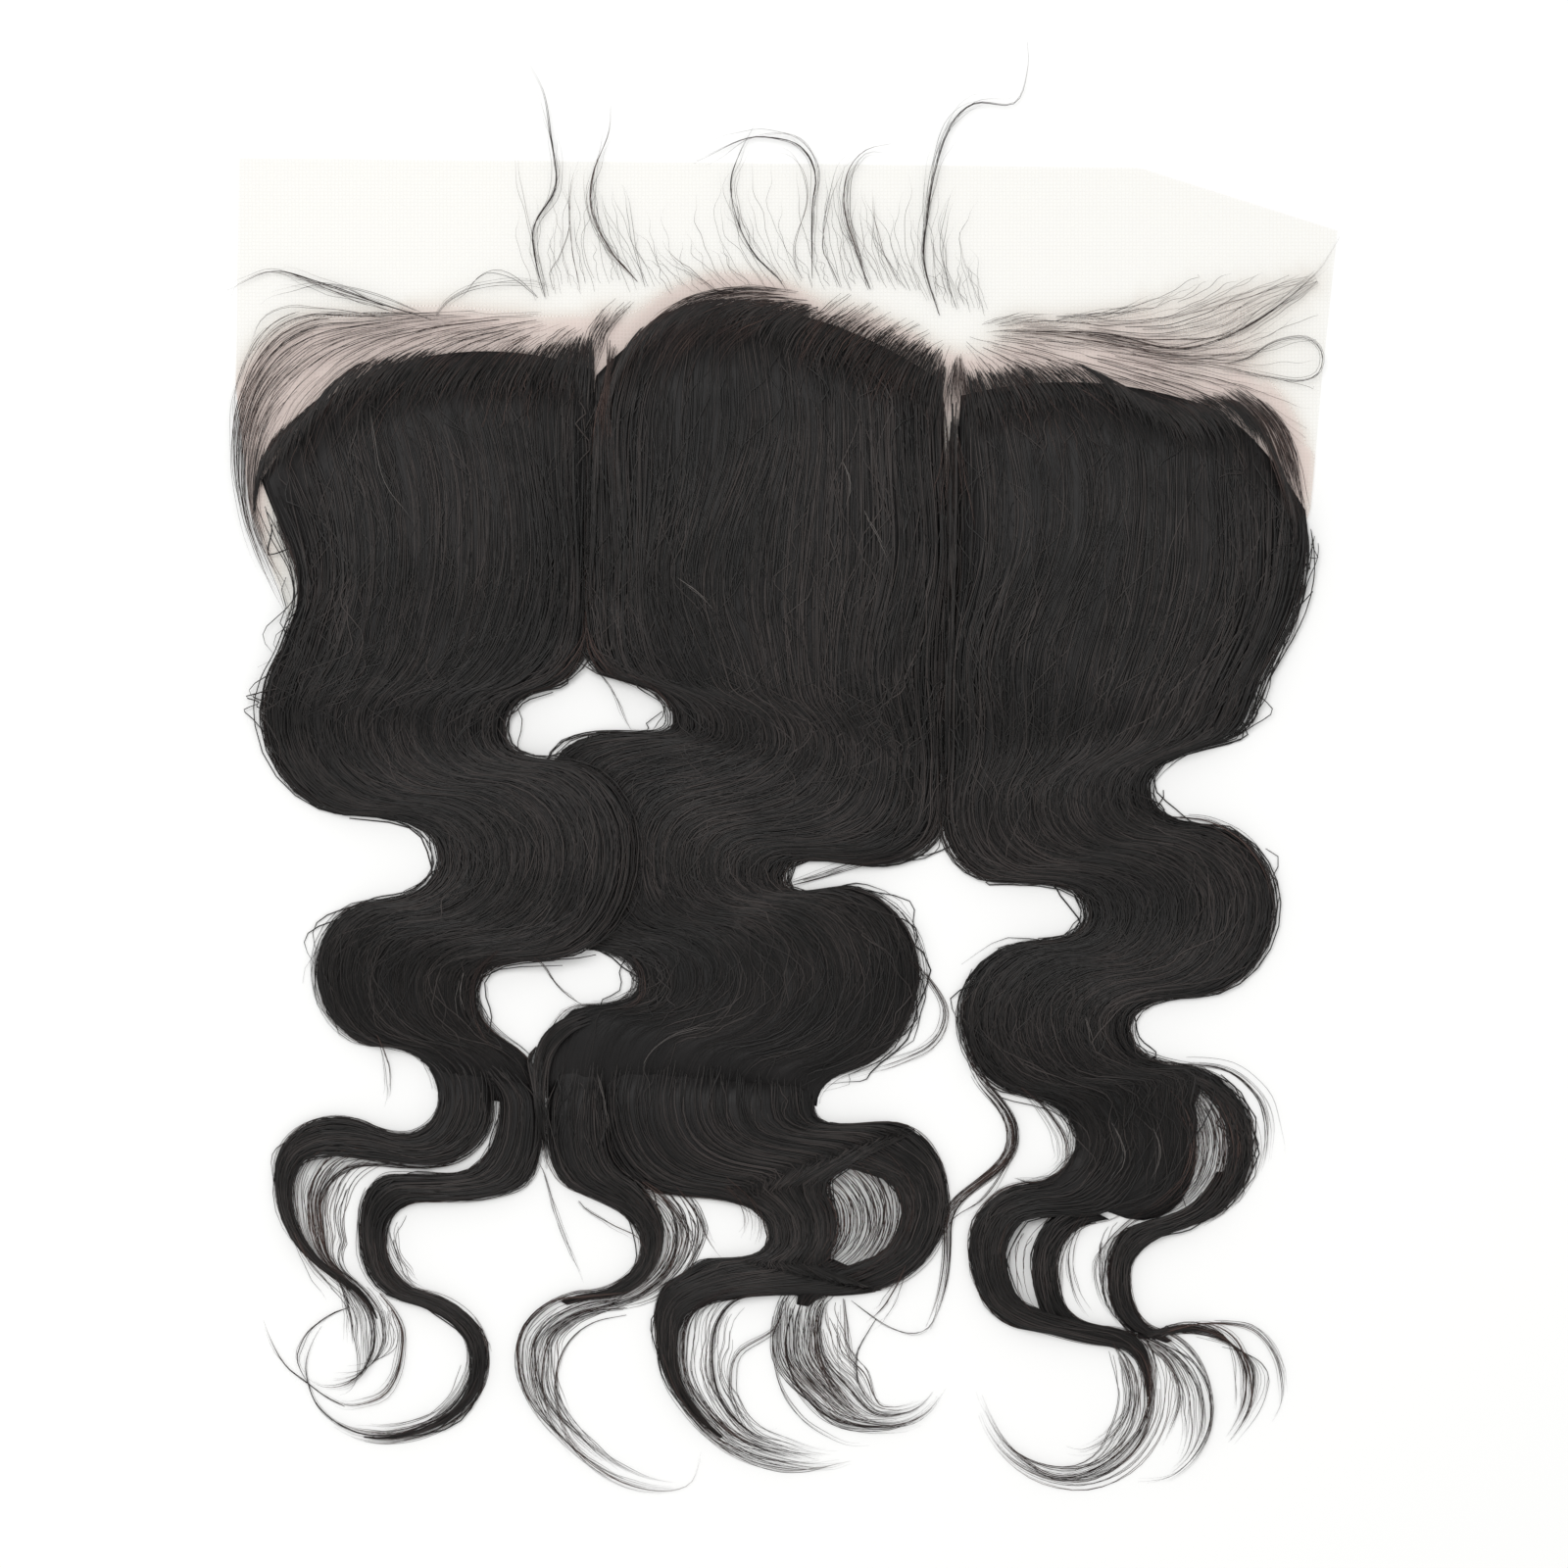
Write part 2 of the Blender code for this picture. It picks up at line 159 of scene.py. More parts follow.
centre_x, centre_y = photo((PHOTO_SIZE / 2, PHOTO_SIZE / 2))
lens = bpy.data.cameras.new("overhead")
lens.sensor_width = SENSOR
lens.lens = SENSOR * (CAMERA_HEIGHT - LACE_WALL) / frame_width
camera = bpy.data.objects.new("overhead", lens)
camera.location = (centre_x, centre_y, CAMERA_HEIGHT)
bpy.context.scene.collection.objects.link(camera)
bpy.context.scene.camera = camera
bpy.context.scene.view_settings.view_transform = "Standard"

board_paint, tree = new_material("white_board_matt")
board = add_node(tree, "ShaderNodeBsdfPrincipled", {
    "Base Color": hex_linear("#F4F4F3"), "Roughness": 0.9, "Specular IOR Level": 0.0,
})
finish_material(tree, board.outputs["BSDF"])
bpy.ops.mesh.primitive_plane_add(size=6, location=(centre_x, centre_y, -0.0002))
floor = bpy.context.object
floor.name = "white_board"
floor.data.materials.append(board_paint)

world = bpy.data.worlds.new("soft_room")
bpy.context.scene.world = world
world.use_nodes = True
world.node_tree.nodes["Background"].inputs["Color"].default_value = hex_linear("#FFFFFF")
world.node_tree.nodes["Background"].inputs["Strength"].default_value = ROOM_LIGHT
add_area_light("softbox", SOFTBOX_WATTS, 1.3, (-0.45, 0.55, 1.9), (0, -0.1, 0))
print(f"frame {frame_width / MM:.0f} mm wide, lens {lens.lens:.0f} mm")

# %% [markdown]
# ## The locks' tables
# Body-wave hair lies in broad locks that swing from side to side. Each lock could be a curve
# with a width, but the two edges of a real lock don't run parallel: they fan out in the bends
# and pinch between them. So a lock is a table of cuts instead. A row gives the place and the
# heading of the left edge, then of the right one, and the strands run from row to row. These
# are the tables that the solids were made from, so the hair lies where the solids are.

# %% The locks' tables
Row = namedtuple(
    "Row",
    "left_x left_drop left_way right_x right_drop right_way thick bow peak over thin",
    defaults=(0, 0.5, 0, 1),
)

LEFT_BODY = (
    Row(-0.481, 0.128, 20, -0.175, 0.029, 0, 0.20, 0.062, 0.35),
    Row(-0.464, 0.168, 22, -0.178, 0.095, 0, 0.80, 0.042, 0.35),
    Row(-0.444, 0.225, 3, -0.181, 0.195, 0, 0.95, 0.006, 0.35),
    Row(-0.459, 0.274, -18, -0.183, 0.270, -5, 0.90),
    Row(-0.473, 0.310, -8, -0.221, 0.312, -80, 0.85),
    Row(-0.476, 0.335, 0, -0.255, 0.349, 0, 0.80),
    Row(-0.390, 0.419, 90, -0.200, 0.374, 85, 0.75, over=0.6),
    Row(-0.313, 0.457, 0, -0.136, 0.449, 0, 0.70, over=1.0),
    Row(-0.372, 0.494, -90, -0.209, 0.541, -85, 0.65, over=0.6),
    Row(-0.428, 0.553, 0, -0.282, 0.571, 0, 0.60),
    Row(-0.367, 0.618, 90, -0.250, 0.615, 60, 0.50),
    Row(-0.316, 0.658, 0, -0.219, 0.670, 0, 0.36),
)
CENTRE_BODY = (
    Row(-0.168, 0.034, 0, 0.154, 0.044, 0, 0.20, 0.063, 0.38),
    Row(-0.172, 0.095, 0, 0.155, 0.105, 0, 0.85, 0.042, 0.38),
    Row(-0.175, 0.195, 0, 0.156, 0.195, 0, 1.00, 0.006, 0.38),
    Row(-0.177, 0.270, 5, 0.149, 0.300, 0, 0.95),
    Row(-0.155, 0.301, 75, 0.148, 0.340, 0, 0.90),
    Row(-0.097, 0.339, 0, 0.148, 0.380, -3, 0.85),
    Row(-0.128, 0.350, -90, 0.146, 0.423, -10, 0.80, thin=0.7),
    Row(-0.186, 0.357, -72, 0.090, 0.461, -85, 0.75, thin=0.3),
    Row(-0.209, 0.440, 0, 0.001, 0.474, 0, 0.75, thin=0.3),
    Row(-0.173, 0.533, 80, 0.058, 0.482, 85, 0.75, thin=0.3),
    Row(-0.131, 0.562, 0, 0.128, 0.557, 0, 0.70, thin=0.8),
    Row(-0.177, 0.583, -88, 0.062, 0.640, -75, 0.62),
    Row(-0.2165, 0.662, 0, 0.034, 0.669, 0, 0.40),
)
RIGHT_BODY = (
    Row(0.162, 0.062, 0, 0.485, 0.159, 5, 0.20, 0.062, 0.70),
    Row(0.1615, 0.115, 0, 0.487, 0.184, -3, 0.80, 0.042, 0.70),
    Row(0.161, 0.200, 0, 0.480, 0.222, -12, 0.95, 0.006, 0.70),
    Row(0.155, 0.300, 0, 0.444, 0.301, -25, 0.90),
    Row(0.154, 0.368, 0, 0.411, 0.354, -65, 0.85),
    Row(0.152, 0.423, 5, 0.337, 0.398, 0, 0.80),
    Row(0.203, 0.475, 85, 0.388, 0.429, 88, 0.75),
    Row(0.286, 0.504, 0, 0.454, 0.498, 0, 0.70),
    Row(0.239, 0.529, -90, 0.379, 0.574, -88, 0.65),
    Row(0.169, 0.592, 0, 0.321, 0.603, 0, 0.60),
    Row(0.225, 0.659, 80, 0.370, 0.635, 90, 0.52),
    Row(0.274, 0.699, 0, 0.437, 0.702, 0, 0.44),
    Row(0.235, 0.734, -88, 0.375, 0.773, -80, 0.30),
)

# The locks that the sections divide into. Their thick is a share of the locks' thickness, and
# their first rows lie inside the section, where they are fused to it.
LEFT_OUTER_LOCK = (
    Row(-0.333, 0.630, 65, -0.278, 0.628, 50, 0.30),
    Row(-0.315, 0.660, 0, -0.264, 0.670, 0, 0.75),
    Row(-0.345, 0.693, -88, -0.309, 0.719, -80, 0.85),
    Row(-0.408, 0.679, -92, -0.381, 0.718, -90, 0.80),
    Row(-0.466, 0.726, 0, -0.427, 0.757, 0, 0.65),
    Row(-0.422, 0.809, 55, -0.402, 0.813, 55, 0.50),
    Row(-0.374, 0.865, 0, -0.367, 0.865, 0, 0.30),
    Row(-0.413, 0.910, -90, -0.413, 0.904, -90, 0.22),
)
LEFT_INNER_LOCK = (
    Row(-0.288, 0.630, 45, -0.236, 0.638, 30, 0.30),
    Row(-0.259, 0.668, 0, -0.220, 0.672, 0, 0.75),
    Row(-0.299, 0.727, -85, -0.250, 0.742, -75, 0.85),
    Row(-0.357, 0.728, -88, -0.331, 0.750, -90, 0.80),
    Row(-0.387, 0.769, 0, -0.366, 0.781, 0, 0.65),
    Row(-0.349, 0.835, 75, -0.331, 0.828, 78, 0.50),
    Row(-0.285, 0.887, 0, -0.270, 0.887, 0, 0.38),
    Row(-0.340, 0.946, -75, -0.336, 0.952, -75, 0.28),
    Row(-0.413, 0.938, -125, -0.414, 0.944, -125, 0.22),
)
CENTRE_SMALL_LOCK = (
    Row(-0.205, 0.630, -5, -0.160, 0.630, 0, 0.30),
    Row(-0.2155, 0.676, 0, -0.159, 0.670, 0, 0.75),
    Row(-0.186, 0.742, 68, -0.132, 0.732, 65, 0.80),
    Row(-0.127, 0.788, 0, -0.096, 0.781, 0, 0.60),
    Row(-0.177, 0.828, -88, -0.155, 0.839, -80, 0.45),
    Row(-0.242, 0.884, 0, -0.228, 0.884, 0, 0.30),
    Row(-0.190, 0.962, 50, -0.183, 0.957, 50, 0.24),
    Row(-0.098, 0.997, 88, -0.098, 0.991, 88, 0.22),
)
CENTRE_MAIN_LOCK = (
    Row(-0.160, 0.620, 0, 0.030, 0.640, -10, 0.30),
    Row(-0.166, 0.664, 0, 0.030, 0.668, 0, 0.95),
    Row(-0.110, 0.742, 78, 0.099, 0.683, 88, 0.95),
    Row(-0.009, 0.781, 0, 0.154, 0.750, 0, 0.90),
    Row(-0.055, 0.800, -88, 0.081, 0.828, -82, 0.80),
    Row(-0.096, 0.817, -60, -0.024, 0.831, -85, 0.65),
    Row(-0.114, 0.855, 0, -0.090, 0.862, -8, 0.50),
    Row(-0.087, 0.930, 38, -0.072, 0.926, 38, 0.38),
    Row(-0.004, 0.977, 80, -0.004, 0.966, 80, 0.28),
    Row(0.065, 0.973, 98, 0.064, 0.967, 98, 0.22),
)
CENTRE_TAIL = (
    Row(0.049, 0.800, -100, 0.078, 0.812, -92, 0.30),
    Row(0.012, 0.824, -45, 0.045, 0.835, -50, 0.50),
    Row(-0.002, 0.872, 0, 0.036, 0.866, 0, 0.34),
    Row(0.035, 0.924, 45, 0.058, 0.905, 45, 0.28),
    Row(0.098, 0.943, 92, 0.098, 0.934, 90, 0.24),
    Row(0.147, 0.918, 150, 0.141, 0.914, 150, 0.22),
)
RIGHT_MAIN_LOCK = (
    Row(0.277, 0.685, 0, 0.350, 0.690, 0, 0.30),
    Row(0.232, 0.735, -88, 0.293, 0.768, -85, 0.85),
    Row(0.176, 0.788, 0, 0.255, 0.811, 0, 0.75),
    Row(0.228, 0.860, 82, 0.284, 0.855, 75, 0.65),
    Row(0.302, 0.874, 85, 0.328, 0.866, 60, 0.50),
    Row(0.331, 0.918, 0, 0.344, 0.918, 0, 0.36),
    Row(0.268, 0.980, -90, 0.271, 0.987, -90, 0.26),
    Row(0.190, 0.930, -160, 0.185, 0.932, -160, 0.22),
)
RIGHT_THIN_LOCK = (
    Row(0.379, 0.724, -30, 0.424, 0.726, -20, 0.30),
    Row(0.336, 0.766, -75, 0.368, 0.775, -72, 0.70),
    Row(0.304, 0.815, 0, 0.322, 0.813, 0, 0.55),
    Row(0.334, 0.866, 70, 0.349, 0.861, 75, 0.45),
    Row(0.391, 0.930, 0, 0.398, 0.930, 0, 0.28),
    Row(0.355, 0.987, -60, 0.358, 0.990, -60, 0.22),
)
RIGHT_END_LOCK = (
    Row(0.330, 0.860, 80, 0.331, 0.868, 80, 0.34),
    Row(0.372, 0.856, 95, 0.372, 0.863, 95, 0.30),
    Row(0.431, 0.903, 0, 0.437, 0.903, 0, 0.26),
    Row(0.412, 0.952, -38, 0.416, 0.955, -38, 0.22),
)
RIGHT_STRAY_LOCK = (
    Row(0.176, 0.575, 5, 0.190, 0.575, 5, 0.30),
    Row(0.176, 0.637, 20, 0.183, 0.635, 20, 0.30),
    Row(0.212, 0.695, 0, 0.218, 0.695, 0, 0.28),
    Row(0.152, 0.772, 0, 0.157, 0.775, 0, 0.26),
    Row(0.135, 0.858, -25, 0.139, 0.860, -25, 0.22),
)

# %% [markdown]
# ## Following a lock
# Between two rows each edge is a smooth arc, so a point in a lock needs only two numbers: how
# far down the table it is, s, and its share across, u. Worked on whole arrays at once, this
# places a hundred thousand points in a moment, which a loop over single vertices wouldn't.

# %% Following a lock
Cut = namedtuple("Cut", "left right thick bow peak over thin")
SHARE_COLUMNS = slice(6, None)


def strand_way(degrees):
    turn = np.radians(degrees)
    return np.stack([np.sin(turn), -np.cos(turn)], -1)


def place(x, drop):
    return np.stack([x * LACE_WIDTH, HAIRLINE_Y - drop * HAIR_DROP], -1)


def smooth(share):
    share = np.clip(share, 0, 1)
    return share * share * (3 - 2 * share)


def bed(y):
    """The height of what the hair lies on: the lace, and behind it the board."""
    return (LACE_WALL + GAP) * (1 - smooth((REAR_Y - y - RAMP / 2) / RAMP))


def arc_between(start, start_way, end, end_way, t):
    t = t[..., None]
    pull = ARC_PULL * np.linalg.norm(end - start, axis=-1, keepdims=True)
    return (
        (2 * t**3 - 3 * t**2 + 1) * start
        + (t**3 - 2 * t**2 + t) * pull * strand_way(start_way)
        + (3 * t**2 - 2 * t**3) * end
        + (t**3 - t**2) * pull * strand_way(end_way)
    )


def cut_at(rows, s):
    """The cuts at s, where 0 is the first row, 1 the next one and so on."""
    table = np.array(rows, float)
    index = np.clip(np.floor(s).astype(int), 0, len(rows) - 2)
    first = Row(*np.moveaxis(table[index], -1, 0))
    last = Row(*np.moveaxis(table[index + 1], -1, 0))
    t = s - index
    left = arc_between(place(first.left_x, first.left_drop), first.left_way,
                       place(last.left_x, last.left_drop), last.left_way, t)
    right = arc_between(place(first.right_x, first.right_drop), first.right_way,
                        place(last.right_x, last.right_drop), last.right_way, t)
    eased = [a + (b - a) * smooth(t)
             for a, b in zip(first[SHARE_COLUMNS], last[SHARE_COLUMNS])]
    return Cut(left, right, *eased)


def in_lock(lock, s, u):
    """Places in plan, and the heights of the lock's top and underside there."""
    cut = cut_at(lock.rows, s)
    plan = cut.left + (cut.right - cut.left) * u[..., None]
    reach = np.where(u < cut.peak, cut.peak, 1 - cut.peak)
    plan[..., 1] += (1 - ((u - cut.peak) / reach) ** 2) * cut.bow * HAIR_DROP
    inside = np.clip(u, 0, 1)
    crown = EDGE_SHARE + (1 - EDGE_SHARE) * (1 - (2 * inside - 1) ** CROWN_POWER)
    kept = cut.thin + (1 - cut.thin) * np.clip(inside / THIN_REACH, 0, 1)
    under = bed(plan[..., 1]) + cut.over * OVER_LIFT * inside
    top = under + cut.thick * lock.thick * crown * kept
    return plan, top, under


# A band is a stretch of a lock that is dense enough to hide what lies under it, and a veil is
# one that light shows through. Keys give their left and right edges at a few rows, as shares
# of the lock's width. A veil's cover is the number of layers of strands in it, and its strand
# is how wide they are.
Lock = namedtuple("Lock", "name rows thick bands veils", defaults=((),))
Key = namedtuple("Key", "s low high")
Veil = namedtuple("Veil", "cover keys strand", defaults=(0.22 * MM,))


def bedded(rows):
    """A lock's rows with a thick start, because it lies inside the section there."""
    return (rows[0]._replace(thick=max(rows[1].thick, 0.95)), *rows[1:])


SECTIONS = {
    "left": (
        Lock("body", LEFT_BODY, HAIR_THICK, (
            (Key(0.12, 0, 1.01), Key(1, 0, 1.02), Key(3, 0, 1.02), Key(3.6, 0, 1), Key(11, 0, 1)),
        )),
        Lock("outer_lock", LEFT_OUTER_LOCK, LOCK_THICK, (
            (Key(0, 0, 1), Key(3, 0, 0.9), Key(3.6, 0, 0.45), Key(4.2, 0, 0.36), Key(5, 0, 0.6),
             Key(5.3, 0.1, 0.8), Key(5.8, 0.4, 0.6)),
        ), (
            Veil(0.7, (Key(2.6, 0.5, 1), Key(3.3, 0.68, 1), Key(3.8, 0.76, 1.1),
                       Key(4.4, 0.78, 1.15), Key(5, 0.75, 1.1), Key(5.6, 0.5, 1)), 0.26 * MM),
            Veil(0.45, (Key(2.8, 0.2, 1.0), Key(3.6, 0.2, 1.5), Key(4.2, 0.2, 1.7),
                        Key(5, 0.2, 1.3), Key(5.6, 0.2, 1)), 0.16 * MM),
            Veil(0.25, (Key(5, -0.5, 1.5), Key(6, -3, 3), Key(7, -1, 3)), 0.12 * MM),
        )),
        Lock("inner_lock", LEFT_INNER_LOCK, LOCK_THICK, (
            (Key(0, 0, 1), Key(5.6, 0, 1), Key(6.2, 0.1, 0.9), Key(7, 0.25, 0.75),
             Key(7.6, 0.42, 0.58)),
        ), (
            Veil(0.3, (Key(3.4, -0.1, 1.3), Key(4.4, -0.3, 1.9), Key(5.2, -0.2, 1.4)), 0.14 * MM),
            Veil(0.3, (Key(5.5, -0.3, 1.2), Key(6.5, -0.8, 1), Key(7.5, -1.5, 1), Key(8, -1, 1)),
                 0.13 * MM),
        )),
    ),
    "centre": (
        Lock("body", CENTRE_BODY, HAIR_THICK, (
            (Key(0.12, -0.005, 0.985), Key(0.5, -0.012, 0.99), Key(1.2, -0.02, 0.99),
             Key(2.5, -0.02, 0.995), Key(3, -0.01, 1), Key(3.5, 0, 1), Key(12, 0, 1)),
        )),
        Lock("main_lock", CENTRE_MAIN_LOCK, LOCK_THICK, (
            (Key(0, 0, 1), Key(2.3, 0, 1), Key(2.45, 0, 0.52), Key(2.7, 0, 0.38), Key(3, 0, 0.37),
             Key(3.4, 0, 0.40), Key(3.7, 0, 0.52), Key(3.9, 0, 1), Key(5, 0, 1), Key(6, 0, 0.85),
             Key(6.8, 0.1, 0.7), Key(7.4, 0.35, 0.55)),
            (Key(2.0, 0.5, 1), Key(2.45, 0.58, 1), Key(2.7, 0.72, 1), Key(3, 0.76, 1),
             Key(3.4, 0.72, 1), Key(3.7, 0.58, 1), Key(4.1, 0.5, 1)),
        ), (
            Veil(0.7, (Key(2.2, 0.3, 0.85), Key(4.0, 0.3, 0.85))),
            Veil(0.4, (Key(6.5, 0.2, 1), Key(7.3, 0.2, 1.4), Key(8, 0, 1.6), Key(8.6, 0.2, 1)),
                 0.16 * MM),
            Veil(0.25, (Key(5.4, 0.5, 1.6), Key(6, 1, 3), Key(7, 0.8, 3.2), Key(8, 0.5, 2.5),
                        Key(9, 0, 1.5)), 0.13 * MM),
        )),
        Lock("small_lock", CENTRE_SMALL_LOCK, LOCK_THICK, (
            (Key(0, 0, 1), Key(2, 0, 1), Key(2.6, 0, 0.7), Key(3.2, 0, 0.55), Key(3.8, 0.05, 0.6),
             Key(4.3, 0.15, 0.45)),
        ), (
            Veil(0.6, (Key(2.0, 0.5, 1.3), Key(3, 0.5, 1.9), Key(3.8, 0.4, 1.5),
                       Key(4.4, 0.3, 1.1)), 0.20 * MM),
            Veil(0.45, (Key(3.6, 0, 1), Key(4.4, 0, 1.6), Key(5, -0.2, 2.8), Key(5.6, -0.2, 2.4),
                        Key(6.3, 0, 1.5)), 0.16 * MM),
            Veil(0.2, (Key(5, 0, 3), Key(6, -0.5, 2), Key(7, 0, 1)), 0.13 * MM),
        )),
        Lock("tail", CENTRE_TAIL, LOCK_THICK, (
            (Key(0, 0, 1), Key(0.8, 0.1, 0.9), Key(1.3, 0.35, 0.65)),
        ), (
            Veil(0.75, (Key(0.3, 0, 1), Key(2, 0.05, 0.95), Key(3, 0.1, 0.85), Key(3.7, 0.3, 0.7),
                       Key(4.3, 0.4, 0.6)), 0.22 * MM),
            Veil(0.35, (Key(1, -0.1, 1.2), Key(2, -0.15, 1.6), Key(3, -0.2, 1.8),
                        Key(4, -0.6, 2.0), Key(5, 0, 1.5)), 0.14 * MM),
        )),
    ),
    "right": (
        Lock("body", RIGHT_BODY, HAIR_THICK, (
            (Key(0, 0.015, 1), Key(0.5, 0.008, 1), Key(3.2, 0, 1), Key(10.2, 0, 1),
             Key(10.6, 0, 0.74), Key(11, 0, 0.67), Key(11.5, 0, 0.72), Key(12, 0, 0.8),
             Key(12.3, 0, 0.85)),
            (Key(10, 0.8, 1), Key(10.6, 0.86, 1), Key(11, 0.87, 1), Key(11.6, 0.85, 1),
             Key(12, 0.8, 1)),
        ), (
            Veil(0.7, (Key(10.2, 0.6, 0.95), Key(12, 0.6, 0.95))),
        )),
        Lock("main_lock", RIGHT_MAIN_LOCK, LOCK_THICK, (
            (Key(0, 0, 1), Key(1.1, 0, 0.8), Key(1.5, 0, 0.45), Key(2, 0, 0.39), Key(2.5, 0, 0.45),
             Key(2.85, 0, 1), Key(4, 0.05, 1), Key(4.6, 0.4, 0.9), Key(5, 0.6, 0.8)),
            (Key(0.9, 0.6, 1), Key(1.5, 0.70, 1), Key(2, 0.72, 1), Key(2.5, 0.68, 1),
             Key(3.1, 0.5, 1)),
        ), (
            Veil(0.16, (Key(1.1, 0.25, 0.85), Key(2.9, 0.25, 0.85)), 0.18 * MM),
            Veil(0.42, (Key(4, 0.1, 1), Key(4.8, 0.2, 1.1), Key(5.4, 0.2, 0.9), Key(5.8, 0.3, 0.7)),
                 0.20 * MM),
            Veil(0.22, (Key(4, 0, 1), Key(4.8, -1.5, 2.4), Key(5.4, -1.5, 2.4), Key(6, -0.5, 2.5),
                        Key(7, 0, 1.5)), 0.12 * MM),
        )),
        Lock("thin_lock", RIGHT_THIN_LOCK, LOCK_THICK, (
            (Key(0, 0.55, 1), Key(0.5, 0.45, 1), Key(0.9, 0.15, 1), Key(1.3, 0, 1), Key(2.8, 0, 1),
             Key(3.2, 0.3, 0.7)),
        ), (
            Veil(0.4, (Key(1.2, -0.6, 0.2), Key(2, -0.5, 0.2), Key(2.8, -0.3, 0.2)), 0.15 * MM),
            Veil(0.3, (Key(2.6, 0, 1), Key(3.4, -1, 1), Key(4, -3, 1.5), Key(5, -1, 1.5)),
                 0.13 * MM),
        )),
        Lock("end_lock", RIGHT_END_LOCK, LOCK_THICK, (
            (Key(0, 0, 1), Key(0.8, 0.05, 0.95), Key(1.5, 0.35, 0.65)),
        ), (
            Veil(0.7, (Key(0.6, 0, 1), Key(1.3, -0.1, 1.3), Key(2, -1, 1.6), Key(2.4, -0.5, 1)),
                 0.14 * MM),
            Veil(0.2, (Key(1, -1, 2), Key(2, -2, 4), Key(3, -1, 2)), 0.12 * MM),
        )),
        Lock("stray_lock", RIGHT_STRAY_LOCK, LOCK_THICK, (
            (Key(0, 0.1, 0.9), Key(0.8, 0.35, 0.65)),
        ), (
            Veil(2.0, (Key(0.3, 0.3, 0.7), Key(4, 0.35, 0.65)), 0.20 * MM),
            Veil(0.5, (Key(1, -0.3, 1.3), Key(4, -0.5, 1.5)), 0.12 * MM),
        )),
    ),
}
print("locks:", {side: len(locks) for side, locks in SECTIONS.items()})

# %% [markdown]
# ## Meshes from arrays
# Hair made one object at a time would take Blender minutes. Each piece here is one mesh that is
# filled from arrays: the places of its corners, the faces between them, and a UV map. In the
# map, x runs across the strands and y along them, so one material can draw fine streaks that
# follow every wave. A single strand keeps the same x all along, which gives it its own tone.

# %% Meshes from arrays
triangle_count = {}


def mesh_piece(name, corners, quads, uv, material):
    """One smooth mesh of quads. uv is given for each corner."""
    data = bpy.data.meshes.new(name)
    data.vertices.add(len(corners))
    data.vertices.foreach_set("co", np.ascontiguousarray(corners, np.float32).ravel())
    data.loops.add(quads.size)
    data.loops.foreach_set("vertex_index", quads.ravel().astype(np.int32))
    data.polygons.add(len(quads))
    data.polygons.foreach_set("loop_start", np.arange(0, quads.size, 4, dtype=np.int32))
    data.update(calc_edges=True)
    layer = data.uv_layers.new(name="strand_map")
    layer.data.foreach_set("uv", uv[quads.ravel()].astype(np.float32).ravel())
    data.polygons.foreach_set("use_smooth", np.ones(len(quads), bool))
    data.materials.append(material)
    piece = bpy.data.objects.new(name, data)
    bpy.context.scene.collection.objects.link(piece)
    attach(piece, "root")
    triangle_count[name] = 2 * len(quads)
    print(f"{name}: {triangle_count[name]} triangles")
    return piece


def grid_quads(rows, columns, wrap=False):
    """The quads of a grid of corners, row by row, with the last column joined on if wrap."""
    across = columns if wrap else columns - 1
    row, column = np.meshgrid(np.arange(rows - 1), np.arange(across), indexing="ij")
    after = (column + 1) % columns
    corners = [row * columns + column, row * columns + after,
               (row + 1) * columns + after, (row + 1) * columns + column]
    return np.stack(corners, -1).reshape(-1, 4)


# %% [markdown]
# ## The dense hair
# Where a lock is thick nothing shows through it, so its inside needs no strands. It is a closed
# cushion of hair under them: a ring of corners round each cut, pulled into fine ridges that run
# with the strands, because combed hair lies in clumps with grooves between them.

# %% The dense hair
MASS_STEPS = 6
MASS_LANE = 1.8 * MM
MASS_SINK = 0.5 * MM
MASS_END = 0.6
MASS_FLOOR = 0.3 * MM
RIDGES = ((9.0, 0.32), (5.3, 0.26))


def ridges(across, s, seed):
    """The height of the clumps, for a place across in millimetres."""
    chance = np.random.default_rng(seed)
    height = np.zeros(np.broadcast(across, s).shape)
    for period, size in RIDGES:
        bends = chance.uniform(0.5, 1.1, 2)
        phase = chance.uniform(0, 2 * np.pi, 3)
        wander = np.sin(s * bends[0] + phase[0]) + 0.6 * np.sin(s * bends[1] * 1.9 + phase[1])
        waves = np.sin(2 * np.pi * (across + 0.35 * period * wander) / period + phase[2])
        beat = 0.6 + 0.4 * np.sin(2 * np.pi * across / (period * 3.7) + s * 0.8 + phase[1])
        height += size * waves * beat
    return height * MM


def band_edges(band, s):
    keys = np.array(band, float)
    return np.interp(s, keys[:, 0], keys[:, 1]), np.interp(s, keys[:, 0], keys[:, 2])


